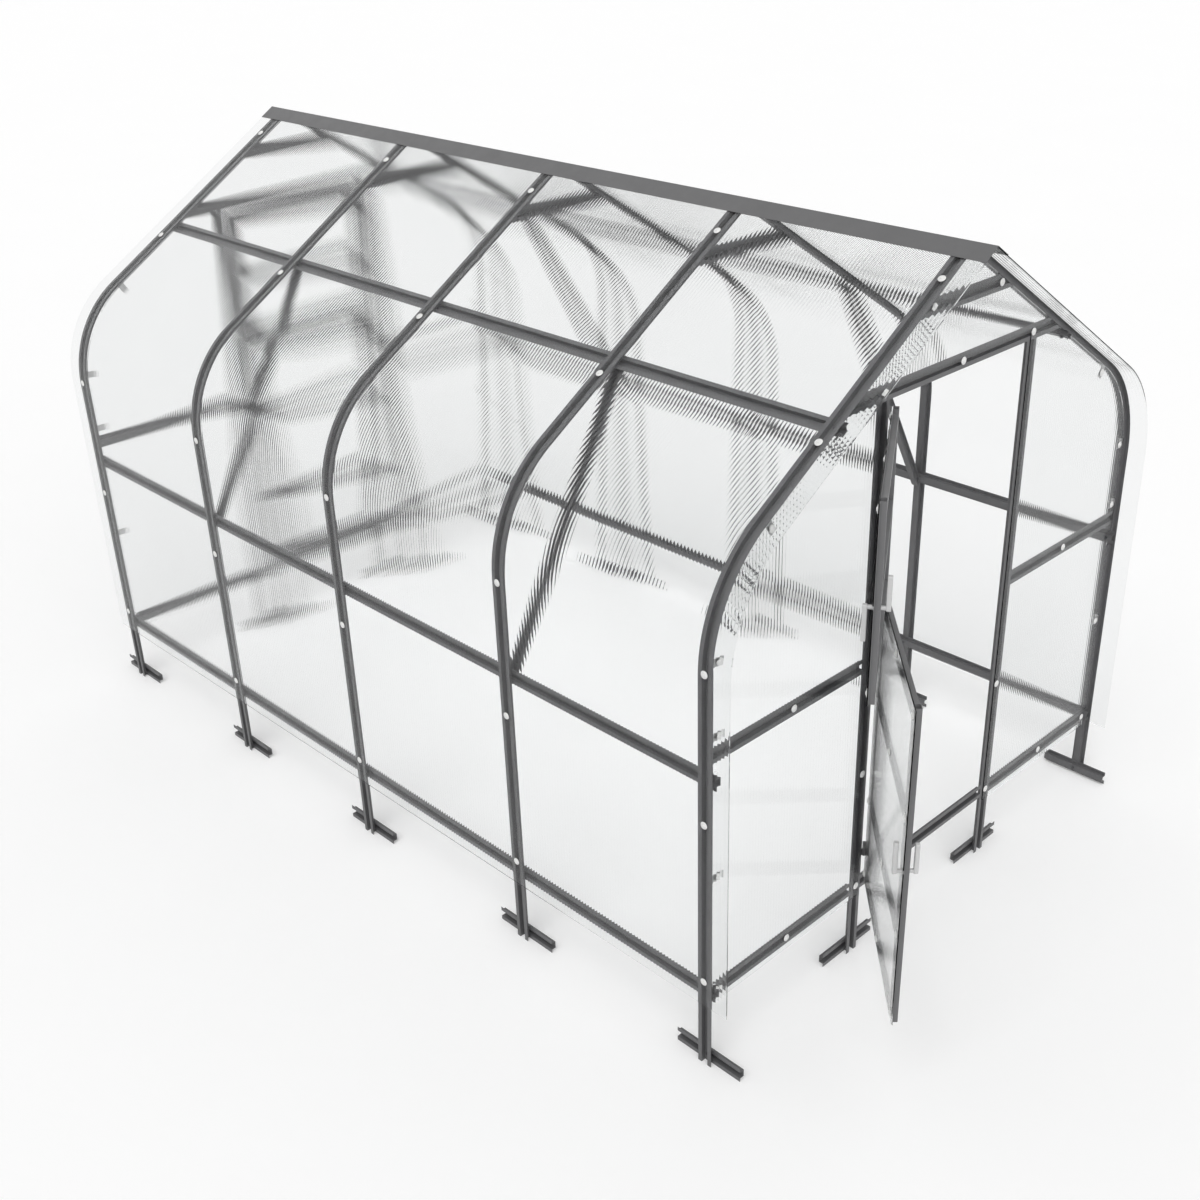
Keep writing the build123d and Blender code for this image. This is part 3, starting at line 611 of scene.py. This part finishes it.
def turned(tree, profile, segments, radius, height):
    """A profile turned about Z, from its fractions of a radius and a height."""
    link = tree.links.new
    last_row = len(profile) - 1
    grid = add_node(tree, "GeometryNodeMeshGrid")
    set_inputs(grid, Size_X=1.0, Size_Y=1.0, Vertices_Y=len(profile))
    link(math_node(tree, "ADD", segments, 1.0), grid.inputs["Vertices X"])
    place = add_node(tree, "ShaderNodeSeparateXYZ")
    link(add_node(tree, "GeometryNodeInputPosition").outputs["Position"], place.inputs[0])
    turn = math_node(tree, "MULTIPLY", math_node(tree, "ADD", place.outputs["X"], 0.5), 2 * pi)
    along = math_node(tree, "MULTIPLY", math_node(tree, "ADD", place.outputs["Y"], 0.5), float(last_row))
    row = math_node(tree, "ROUND", along)
    point = add_node(tree, "GeometryNodeIndexSwitch", data_type="VECTOR")
    while len(point.index_switch_items) < len(profile):
        point.index_switch_items.new()
    for index, (out, up) in enumerate(profile):
        point.inputs[index + 1].default_value = (out, up, 0.0)
    link(row, point.inputs["Index"])
    share = add_node(tree, "ShaderNodeSeparateXYZ")
    link(point.outputs[0], share.inputs[0])
    reach = math_node(tree, "MULTIPLY", share.outputs["X"], radius)
    corner = add_node(tree, "ShaderNodeCombineXYZ")
    link(math_node(tree, "MULTIPLY", reach, math_node(tree, "COSINE", turn)), corner.inputs["X"])
    link(math_node(tree, "MULTIPLY", reach, math_node(tree, "SINE", turn)), corner.inputs["Y"])
    link(math_node(tree, "MULTIPLY", share.outputs["Y"], height), corner.inputs["Z"])
    shape = fed_node(tree, "GeometryNodeSetPosition", grid.outputs["Mesh"])
    link(corner.outputs["Vector"], shape.inputs["Position"])
    return merged(tree, shape.outputs["Geometry"])


def lifted(tree, geometry, height):
    """A shape moved along Z by a linked height."""
    move = fed_node(tree, "GeometryNodeTransform", geometry)
    offset = add_node(tree, "ShaderNodeCombineXYZ")
    tree.links.new(height, offset.inputs["Z"])
    tree.links.new(offset.outputs["Vector"], move.inputs["Translation"])
    return move.outputs["Geometry"]


def set_on_places(tree, given, shape):
    """A shape set on every given point, with its Z along the point's facing."""
    link = tree.links.new
    aim = add_node(tree, "FunctionNodeAlignRotationToVector", axis="Z")
    link(named_value(tree, "facing", "FLOAT_VECTOR"), aim.inputs["Vector"])
    rows = fed_node(tree, "GeometryNodeInstanceOnPoints", given.outputs["Geometry"])
    link(shape, rows.inputs["Instance"])
    link(aim.outputs["Rotation"], rows.inputs["Rotation"])
    real = fed_node(tree, "GeometryNodeRealizeInstances", rows.outputs["Instances"])
    return creased(tree, real.outputs["Geometry"])


def washer_tree():
    """Domed clamping washers with a button cap, one on every point."""
    tree, given, made = new_tree("Clamping washers", ("Diameter", "Height"), ("Segments",))
    radius = math_node(tree, "MULTIPLY", given.outputs["Diameter"], 0.5)
    shape = turned(tree, washer_profile, given.outputs["Segments"], radius, given.outputs["Height"])
    end_tree(tree, set_on_places(tree, given, shape), given, made)
    return tree


def bolt_tree():
    """Flanged hexagon bolts with nuts, each with its head's top on a point and its shank running in."""
    tree, given, made = new_tree(
        "Hexagon bolts",
        ("Shank", "Collar", "Hexagon", "Head", "Grip", "Nut", "Tail"),
    )
    sizes = given.outputs
    half = {key: math_node(tree, "MULTIPLY", sizes[key], 0.5) for key in ("Shank", "Collar", "Hexagon")}
    collar_height = math_node(tree, "MULTIPLY", sizes["Head"], collar_share_of_head)
    hex_height = math_node(tree, "SUBTRACT", sizes["Head"], collar_height)
    seat = math_node(tree, "MULTIPLY", sizes["Head"], -1.0)
    nut_top = math_node(tree, "SUBTRACT", seat, sizes["Grip"])
    nut_foot = math_node(tree, "SUBTRACT", nut_top, sizes["Nut"])
    tail_end = math_node(tree, "SUBTRACT", nut_foot, sizes["Tail"])
    shank_length = math_node(tree, "SUBTRACT", seat, tail_end)
    parts = [
        lifted(tree, turned(tree, collar_profile, collar_facets, half["Collar"], collar_height), seat),
        lifted(
            tree,
            turned(tree, hex_profile, hex_facets, half["Hexagon"], hex_height),
            math_node(tree, "MULTIPLY", hex_height, -1.0),
        ),
        lifted(tree, turned(tree, hex_profile, hex_facets, half["Hexagon"], sizes["Nut"]), nut_foot),
        lifted(tree, turned(tree, stud_profile, stud_facets, half["Shank"], shank_length), tail_end),
    ]
    whole = add_node(tree, "GeometryNodeJoinGeometry")
    for part in parts:
        tree.links.new(part, whole.inputs["Geometry"])
    end_tree(tree, set_on_places(tree, given, whole.outputs["Geometry"]), given, made)
    return tree


def tree_named(name, maker):
    """A tree by name, made once."""
    return bpy.data.node_groups.get(name) or maker()


def add_object(name, data):
    """A new object in the scene."""
    item = bpy.data.objects.new(name, data)
    bpy.context.scene.collection.objects.link(item)
    return item


def grown(name, base, tree, values):
    """A finished piece: the tree's result on a base mesh, as a plain mesh at the origin."""
    holder = add_object(name + "_base", base)
    modifier = holder.modifiers.new("shape", "NODES")
    modifier.node_group = tree
    for item in tree.interface.items_tree:
        if item.item_type == "SOCKET" and item.in_out == "INPUT" and item.name in values:
            modifier[item.identifier] = values[item.name]
    graph = bpy.context.evaluated_depsgraph_get()
    mesh = bpy.data.meshes.new_from_object(holder.evaluated_get(graph), depsgraph=graph)
    if not mesh.polygons:
        raise RuntimeError(f"{name} came out empty")
    bpy.data.objects.remove(holder)
    bpy.data.meshes.remove(base)
    mesh.name = name
    for left_over in ("outward", "outer_wall", "facing"):
        attribute = mesh.attributes.get(left_over)
        if attribute:
            mesh.attributes.remove(attribute)
    return add_object(name, mesh)


def hand_over(piece, body, slot, *nodes):
    """Puts a finished piece on its body in place of packed nodes."""
    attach(piece, body)
    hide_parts(*nodes)


# Base faces of the sheets


def columns(start, end, step, stops=()):
    """Evenly spaced places from start to end, with some stops kept exactly."""
    count = max(1, round((end - start) / step))
    even = [start + (end - start) * index / count for index in range(count + 1)]
    fixed = [start, end, *stops]
    nearest = step / 4
    clear = [value for value in even if all(abs(value - stop) > nearest for stop in fixed)]
    return sorted(clear + fixed)


def keep_all(row, place):
    """Keeps every face of a wall."""
    return True


def base_face(name, across, rows, keep, outward):
    """Mesh of one wall: rows of points along the flutes, with one point for each place across."""
    mesh = bmesh.new()
    layer = mesh.verts.layers.float.new("across")
    grid = []
    for row in rows:
        line = []
        for value, point in zip(across, row):
            vertex = mesh.verts.new(point)
            vertex[layer] = value
            line.append(vertex)
        grid.append(line)
    for r in range(len(rows) - 1):
        for c in range(len(across) - 1):
            if keep(r, (across[c] + across[c + 1]) / 2):
                mesh.faces.new((grid[r][c], grid[r][c + 1], grid[r + 1][c + 1], grid[r + 1][c]))
    loose = [vertex for vertex in mesh.verts if not vertex.link_faces]
    bmesh.ops.delete(mesh, geom=loose, context="VERTS")
    mesh.normal_update()
    if mesh.faces[:][0].normal.dot(Vector(outward)) < 0:
        bmesh.ops.reverse_faces(mesh, faces=mesh.faces[:])
    result = bpy.data.meshes.new(name + "_base")
    mesh.to_mesh(result)
    mesh.free()
    return result


def eave_route(inset, steps):
    """X and Z along one side from the leg's top round the eave, moved in from the arch's outer face."""
    turn = pi / 2 - roof_angle
    corner = apex_height - half_width * tan(roof_angle)
    start = corner - eave_radius * tan(turn / 2)
    radius = eave_radius - inset
    centre = half_width - eave_radius
    angles = [turn * index / steps for index in range(steps + 1)]
    return [(centre + radius * cos(a), start + radius * sin(a)) for a in angles]


def slope_point(across, inset):
    """X and Z of a point on the roof slope, moved in from the arch's outer face."""
    down = across * tan(roof_angle) + inset * cos(roof_angle)
    return across - inset * sin(roof_angle), apex_height - down


def flute_step(scene):
    """Distance between two mesh columns of a sheet."""
    return scene.greenhouse_sheets.flute_pitch / scene.greenhouse_sheets.flute_steps


def fluted_piece(scene, name, face, body, node):
    """Makes one fluted sheet from its base face and puts it in place of a packed node."""
    sheets = scene.greenhouse_sheets
    values = {
        "Thickness": sheet_thickness,
        "Flute Pitch": sheets.flute_pitch,
        "Flute Depth": sheets.flute_depth,
        "Groove Depth": sheets.groove_depth,
        "Material": finish_of("clear_sheet", scene),
    }
    tree = tree_named("Fluted sheet", fluted_sheet_tree)
    piece = grown(name, base_face(name, *face), tree, values)
    hand_over(piece, body, "clear_sheet", node)


class GREENHOUSE_OT_paint_steel(bpy.types.Operator):
    """Gives every packed steel and plastic piece its detailed finish"""

    bl_idname = "greenhouse.paint_steel"
    bl_label = "Paint steel"

    def execute(self, context):
        for name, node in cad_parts.items():
            for holder in node.material_slots:
                slot = holder.material.name.split(".")[0]
                # The leaf frames get the lighter copy of the frame paint, a painted highlight for the
                # light on the leaves
                if name.endswith("leaf_frame"):
                    holder.material = finish_named("leaf_paint", context.scene)
                elif slot in slot_finishes:
                    holder.material = finish_of(slot, context.scene)
        return {"FINISHED"}


class GREENHOUSE_OT_side_sheets(bpy.types.Operator):
    """Bends the four fluted side sheets from below the base rails up to the ridge"""

    bl_idname = "greenhouse.side_sheets"
    bl_label = "Side sheets"

    def execute(self, context):
        step = flute_step(context.scene)
        route = eave_route(-sheet_gap, context.scene.greenhouse_sheets.eave_steps)
        route.append(slope_point(ridge_clearance, -sheet_gap))
        for end in ("front", "rear"):
            for side, sign in (("left", -1), ("right", 1)):
                name = f"side_sheet_{end}_{side}"
                low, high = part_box(name)
                whole = [(half_width + sheet_gap, low.z), *route]
                across = columns(low.y, high.y, step)
                rows = [[(sign * x, y, z) for y in across] for x, z in whole]
                face = (across, rows, keep_all, (sign, 0, 0))
                fluted_piece(context.scene, "fluted_" + name, face, "frame", name)
        return {"FINISHED"}


def wall_point(wall, across, outwards, height):
    """A point on an end wall, from its place across, out from the arches' middle, and up."""
    way = 1 if wall == "front" else -1
    return way * across, arches_middle - way * outwards, height


def wall_rows(wall, sign, across, heights):
    """Rows of points on an end wall, from the places across and each row's heights."""
    return [
        [wall_point(wall, sign * value, wall_plane, z) for value, z in zip(across, row)]
        for row in heights
    ]


def side_panel_top(across):
    """Height of a side panel's upper edge: lintel seam, slope with its purlin notch, or eave."""
    inset = arch_depth + panel_gap
    eave = eave_route(inset, 1)
    slope_height = apex_height - inset / cos(roof_angle) - across * tan(roof_angle)
    if across > eave[1][0]:
        radius = eave_radius - inset
        reach = across - (half_width - eave_radius)
        slope_height = eave[0][1] + sqrt(max(0.0, radius**2 - reach**2))
    notch_depth = arch_depth + notch_clearance
    half_notch = profile_width / 2 + notch_clearance
    x, z = slope_point(purlin_across, arch_depth + notch_depth)
    start = x - half_notch * cos(roof_angle)
    end = x + half_notch * cos(roof_angle)
    notch_height = slope_height
    if start - notch_depth * sin(roof_angle) <= across:
        floor_height = z - (across - x) * tan(roof_angle)
        if start <= across <= end:
            notch_height = floor_height
        elif end < across < end + notch_depth * sin(roof_angle):
            notch_height = z - half_notch * sin(roof_angle) + (across - end) / tan(roof_angle)
    return min(slope_height, notch_height, lintel_height - seam / 2)


class GREENHOUSE_OT_end_panels(bpy.types.Operator):
    """Fits the fluted panels beside and above both doorways, notched round the rails"""

    bl_idname = "greenhouse.end_panels"
    bl_label = "End panels"

    def side_panel(self, wall, sign, step):
        """Base face of the panel on one side of a doorway."""
        outer_edge = half_width - arch_depth - panel_gap
        notch_edge = half_width - 2 * arch_depth - notch_clearance
        half_notch = profile_width / 2 + notch_clearance
        levels = [
            panel_bottom,
            base_rail_height + half_notch,
            mid_rail_height - half_notch,
            mid_rail_height + half_notch,
        ]
        across = columns(doorway_edge, outer_edge, step, (notch_edge,))
        heights = [[level] * len(across) for level in levels]
        heights.append([side_panel_top(value) for value in across])
        rows_clear_of_rails = (1, 3)

        def keep(row, place):
            return place < notch_edge or row in rows_clear_of_rails

        return across, wall_rows(wall, sign, across, heights), keep

    def gable_panel(self, wall, step):
        """Base face of the panel above a doorway."""
        foot = lintel_height + seam / 2
        peak = apex_height - (arch_depth + panel_gap) / cos(roof_angle)
        corner = (peak - foot) / tan(roof_angle)
        across = columns(gable_corner_trim - corner, corner - gable_corner_trim, step, (0.0,))
        top = [peak - abs(value) * tan(roof_angle) for value in across]
        return across, wall_rows(wall, 1, across, [[foot] * len(across), top]), keep_all

    def execute(self, context):
        step = flute_step(context.scene)
        for wall, way in (("front", -1), ("rear", 1)):
            faces = {
                "left": self.side_panel(wall, -1, step),
                "right": self.side_panel(wall, 1, step),
                "gable": self.gable_panel(wall, step),
            }
            for place, face in faces.items():
                name = f"fluted_{wall}_panel_{place}"
                fluted_piece(context.scene, name, (*face, (0, way, 0)), "frame", f"{wall}_panels")
        return {"FINISHED"}


def leaf_point(wall, angle, along, inward, height):
    """A point on an opened door leaf, from its place along the leaf, inwards and up."""
    across = -leaf_axis_across + along * cos(angle) + inward * sin(angle)
    outwards = leaf_axis_outwards + along * sin(angle) - inward * cos(angle)
    return wall_point(wall, across, outwards, height)


class GREENHOUSE_OT_door_panels(bpy.types.Operator):
    """Fits the fluted panels of the four door leaves, open round the latch spindles"""

    bl_idname = "greenhouse.door_panels"
    bl_label = "Door panels"

    def execute(self, context):
        step = flute_step(context.scene)
        half_hole = spindle_hole / 2
        latch_row = 1
        for leaf, angle in leaf_angles.items():
            wall, level = leaf.split("_")
            node = f"{leaf}_leaf_panel"
            low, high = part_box(node)
            latch = latch_heights[level]
            hole = (leaf_free_stile - half_hole, leaf_free_stile + half_hole)
            across = columns(*leaf_panel_along, step, hole)
            levels = (low.z, latch - half_hole, latch + half_hole, high.z)
            rows = [
                [leaf_point(wall, angle, value, leaf_panel_inner_face, z) for value in across]
                for z in levels
            ]
            outside = Vector(leaf_point(wall, angle, 0, 0, 0)) - Vector(leaf_point(wall, angle, 0, 1, 0))

            def keep(row, place):
                return row != latch_row or not hole[0] < place < hole[1]

            face = (across, rows, keep, outside)
            fluted_piece(context.scene, "fluted_" + node, face, f"{leaf}_leaf", node)
        return {"FINISHED"}


# Places of the fasteners, read from the packed model


def islands(node):
    """Point arrays of the separate solids in one packed node."""
    mesh = bmesh.new()
    mesh.from_mesh(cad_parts[node].data)
    bmesh.ops.remove_doubles(mesh, verts=mesh.verts[:], dist=packed_points_merge)
    seen = set()
    found = []
    for first in mesh.verts:
        if first in seen:
            continue
        seen.add(first)
        waiting = [first]
        group = []
        while waiting:
            vertex = waiting.pop()
            group.append(tuple(vertex.co))
            for edge in vertex.link_edges:
                other = edge.other_vert(vertex)
                if other not in seen:
                    seen.add(other)
                    waiting.append(other)
        found.append(np.array(group))
    mesh.free()
    return found


def axis_of(points, longest):
    """Middle, axis, heights along it and distances from it, for a turned solid's points."""
    middle = points.mean(0)
    directions = np.linalg.svd(points - middle, full_matrices=False)[2]
    axis = directions[0] if longest else directions[2]
    heights = (points - middle) @ axis
    distances = np.linalg.norm(points - middle - np.outer(heights, axis), axis=1)
    return middle, axis, heights, distances


def washer_place(points):
    """Seat and outward direction of one washer: its rim lies on the seat."""
    middle, axis, heights, distances = axis_of(points, False)
    rim = heights[distances > rim_share * distances.max()].mean()
    if rim > (heights.min() + heights.max()) / 2:
        return middle + axis * heights.max(), -axis
    return middle + axis * heights.min(), axis


def bolt_place(points):
    """Top of one bolt's head and its outward direction: the head's end is the broad one."""
    middle, axis, heights, distances = axis_of(points, True)
    upper = distances[heights > heights.max() - bolt_end_depth].max()
    lower = distances[heights < heights.min() + bolt_end_depth].max()
    if upper > lower:
        return middle + axis * heights.max(), axis
    return middle + axis * heights.min(), -axis


def place_mesh(name, places):
    """Mesh of loose points that know which way they face."""
    mesh = bpy.data.meshes.new(name + "_places")
    mesh.from_pydata([tuple(point) for point, _ in places], [], [])
    facing = mesh.attributes.new("facing", "FLOAT_VECTOR", "POINT")
    for value, (_, axis) in zip(facing.data, places):
        value.vector = tuple(axis)
    return mesh


class GREENHOUSE_OT_washers(bpy.types.Operator):
    """Sets a domed clamping washer wherever the sheets are screwed down"""

    bl_idname = "greenhouse.washers"
    bl_label = "Washers"

    def execute(self, context):
        sizes = context.scene.greenhouse_fasteners
        tree = tree_named("Clamping washers", washer_tree)
        values = {
            "Diameter": sizes.washer_diameter,
            "Height": sizes.washer_height,
            "Segments": sizes.washer_segments,
            "Material": finish_of("washer_plastic", context.scene),
        }
        rows = {"frame_washers": "frame"}
        rows.update({f"{leaf}_leaf_washers": f"{leaf}_leaf" for leaf in leaf_angles})
        for node, body in rows.items():
            places = [washer_place(points) for points in islands(node)]
            piece = grown("domed_" + node, place_mesh(node, places), tree, values)
            hand_over(piece, body, "washer_plastic", node)
        return {"FINISHED"}


class GREENHOUSE_OT_bolts(bpy.types.Operator):
    """Sets a flanged hexagon bolt and nut through every joint of the frame"""

    bl_idname = "greenhouse.bolts"
    bl_label = "Bolts"

    def execute(self, context):
        sizes = context.scene.greenhouse_fasteners
        values = {
            "Shank": sizes.bolt_diameter,
            "Collar": sizes.collar_diameter,
            "Hexagon": sizes.hex_diameter,
            "Head": sizes.head_height,
            "Grip": sizes.grip,
            "Nut": sizes.nut_height,
            "Tail": sizes.tail,
            "Material": finish_of("bolt_steel", context.scene),
        }
        places = [bolt_place(points) for points in islands("frame_bolts")]
        tree = tree_named("Hexagon bolts", bolt_tree)
        piece = grown("hexagon_frame_bolts", place_mesh("frame_bolts", places), tree, values)
        hand_over(piece, "frame", "bolt_steel", "frame_bolts")
        return {"FINISHED"}


# Stage


def seen_directly(tree):
    """1 for rays that show the background: straight, mirrored or through a sheet, not off a matt face."""
    path = add_node(tree, "ShaderNodeLightPath")
    mirrored = math_node(tree, "MAXIMUM", path.outputs["Is Camera Ray"], path.outputs["Is Glossy Ray"])
    shown = math_node(tree, "MAXIMUM", mirrored, path.outputs["Is Transmission Ray"])
    before_matt = math_node(tree, "LESS_THAN", path.outputs["Diffuse Depth"], matt_bounce_limit)
    return math_node(tree, "MULTIPLY", shown, before_matt)


def studio_floor(stage):
    """Pale floor material that keeps the shadow and reads as near white in the picture."""
    material, tree, shader, output = new_material("studio_floor")
    place = object_place(tree)
    colour = tuple(stage.floor_colour)
    tone = clouded(tree, place, colour, dark=0.99, light=1.01, scale=0.8, detail=3.0)
    tree.links.new(tone, shader.inputs["Base Color"])
    set_inputs(shader, Roughness=0.9, Specular_IOR_Level=0.1)
    glow = add_node(tree, "ShaderNodeEmission")
    lift = math_node(tree, "MULTIPLY", seen_directly(tree), stage.floor_glow)
    tree.links.new(lift, glow.inputs["Strength"])
    both = add_node(tree, "ShaderNodeAddShader")
    tree.links.new(shader.outputs["BSDF"], both.inputs[0])
    tree.links.new(glow.outputs["Emission"], both.inputs[1])
    tree.links.new(both.outputs["Shader"], output.inputs["Surface"])
    return material


def studio_sky(world, stage):
    """White to the eye, and a soft even light for everything else."""
    world.use_nodes = True
    tree = world.node_tree
    tree.nodes.clear()
    output = add_node(tree, "ShaderNodeOutputWorld")
    backdrop = add_node(tree, "ShaderNodeBackground")
    set_inputs(backdrop, Color=(1.0, 1.0, 1.0, 1.0), Strength=1.0)
    light = add_node(tree, "ShaderNodeBackground")
    set_inputs(light, Color=(1.0, 1.0, 1.0, 1.0), Strength=stage.sky_strength)
    choice = add_node(tree, "ShaderNodeMixShader")
    tree.links.new(seen_directly(tree), choice.inputs["Fac"])
    tree.links.new(light.outputs["Background"], choice.inputs[1])
    tree.links.new(backdrop.outputs["Background"], choice.inputs[2])
    tree.links.new(choice.outputs["Shader"], output.inputs["Surface"])


class GREENHOUSE_OT_stage(bpy.types.Operator):
    """Lays the floor, hangs the lights and sets up the camera"""

    bl_idname = "greenhouse.stage"
    bl_label = "Stage"

    def floor(self, stage):
        """A wide flat floor on z = 0."""
        far = floor_reach
        corners = [(-far, -far, 0), (far, -far, 0), (far, far, 0), (-far, far, 0)]
        mesh = bpy.data.meshes.new("floor")
        mesh.from_pydata(corners, [], [(0, 1, 2, 3)])
        mesh.materials.append(studio_floor(stage))
        floor = add_object("floor", mesh)

    def lamp(self, name, strength, softness, direction):
        """A soft distant lamp that shines along a direction."""
        light = bpy.data.lights.new(name, "SUN")
        light.energy = strength
        light.angle = softness
        lamp = add_object(name, light)
        lamp.rotation_euler = Vector(direction).to_track_quat("-Z", "Y").to_euler()

    def camera(self, stage):
        """The camera at the height and angle of the picture."""
        lens = bpy.data.cameras.new("camera")
        lens.lens = stage.lens
        lens.sensor_width = sensor_width
        lens.shift_x = lens_shift
        lens.clip_end = view_reach
        camera = add_object("camera", lens)
        camera.location = camera_place
        camera.rotation_euler = camera_turn
        bpy.context.scene.camera = camera

    def execute(self, context):
        stage = context.scene.greenhouse_stage
        self.floor(stage)
        world = bpy.data.worlds.new("studio")
        context.scene.world = world
        studio_sky(world, stage)
        self.lamp("key", stage.key_strength, stage.key_softness, key_direction)
        self.lamp("fill", stage.fill_strength, stage.fill_softness, fill_direction)
        self.camera(stage)
        context.scene.view_settings.view_transform = "Standard"
        return {"FINISHED"}


piece_operators = (
    GREENHOUSE_OT_paint_steel,
    GREENHOUSE_OT_side_sheets,
    GREENHOUSE_OT_end_panels,
    GREENHOUSE_OT_door_panels,
    GREENHOUSE_OT_washers,
    GREENHOUSE_OT_bolts,
    GREENHOUSE_OT_stage,
)


class GREENHOUSE_PT_pieces(bpy.types.Panel):
    """Lists the pieces of the greenhouse and their settings"""

    bl_idname = "GREENHOUSE_PT_pieces"
    bl_label = "Greenhouse"
    bl_space_type = "VIEW_3D"
    bl_region_type = "UI"
    bl_category = "Greenhouse"

    def draw(self, context):
        for operator in piece_operators:
            self.layout.operator(operator.bl_idname, text=operator.bl_label)
        for key, group in settings_groups.items():
            box = self.layout.box()
            box.label(text=group.__doc__)
            for name in group.__annotations__:
                box.prop(getattr(context.scene, key), name)


all_classes = (*settings_groups.values(), *piece_operators, GREENHOUSE_PT_pieces)


def register():
    """Registers the settings, operators and panel."""
    for item in all_classes:
        bpy.utils.register_class(item)
    for key, group in settings_groups.items():
        setattr(bpy.types.Scene, key, PointerProperty(type=group))


def unregister():
    """Takes the settings, operators and panel away again."""
    for key in settings_groups:
        delattr(bpy.types.Scene, key)
    for item in reversed(all_classes):
        bpy.utils.unregister_class(item)


def main():
    """Dresses the whole greenhouse."""
    register()
    for operator in piece_operators:
        group, name = operator.bl_idname.split(".")
        getattr(getattr(bpy.ops, group), name)()


if __name__ == "__main__":
    main()
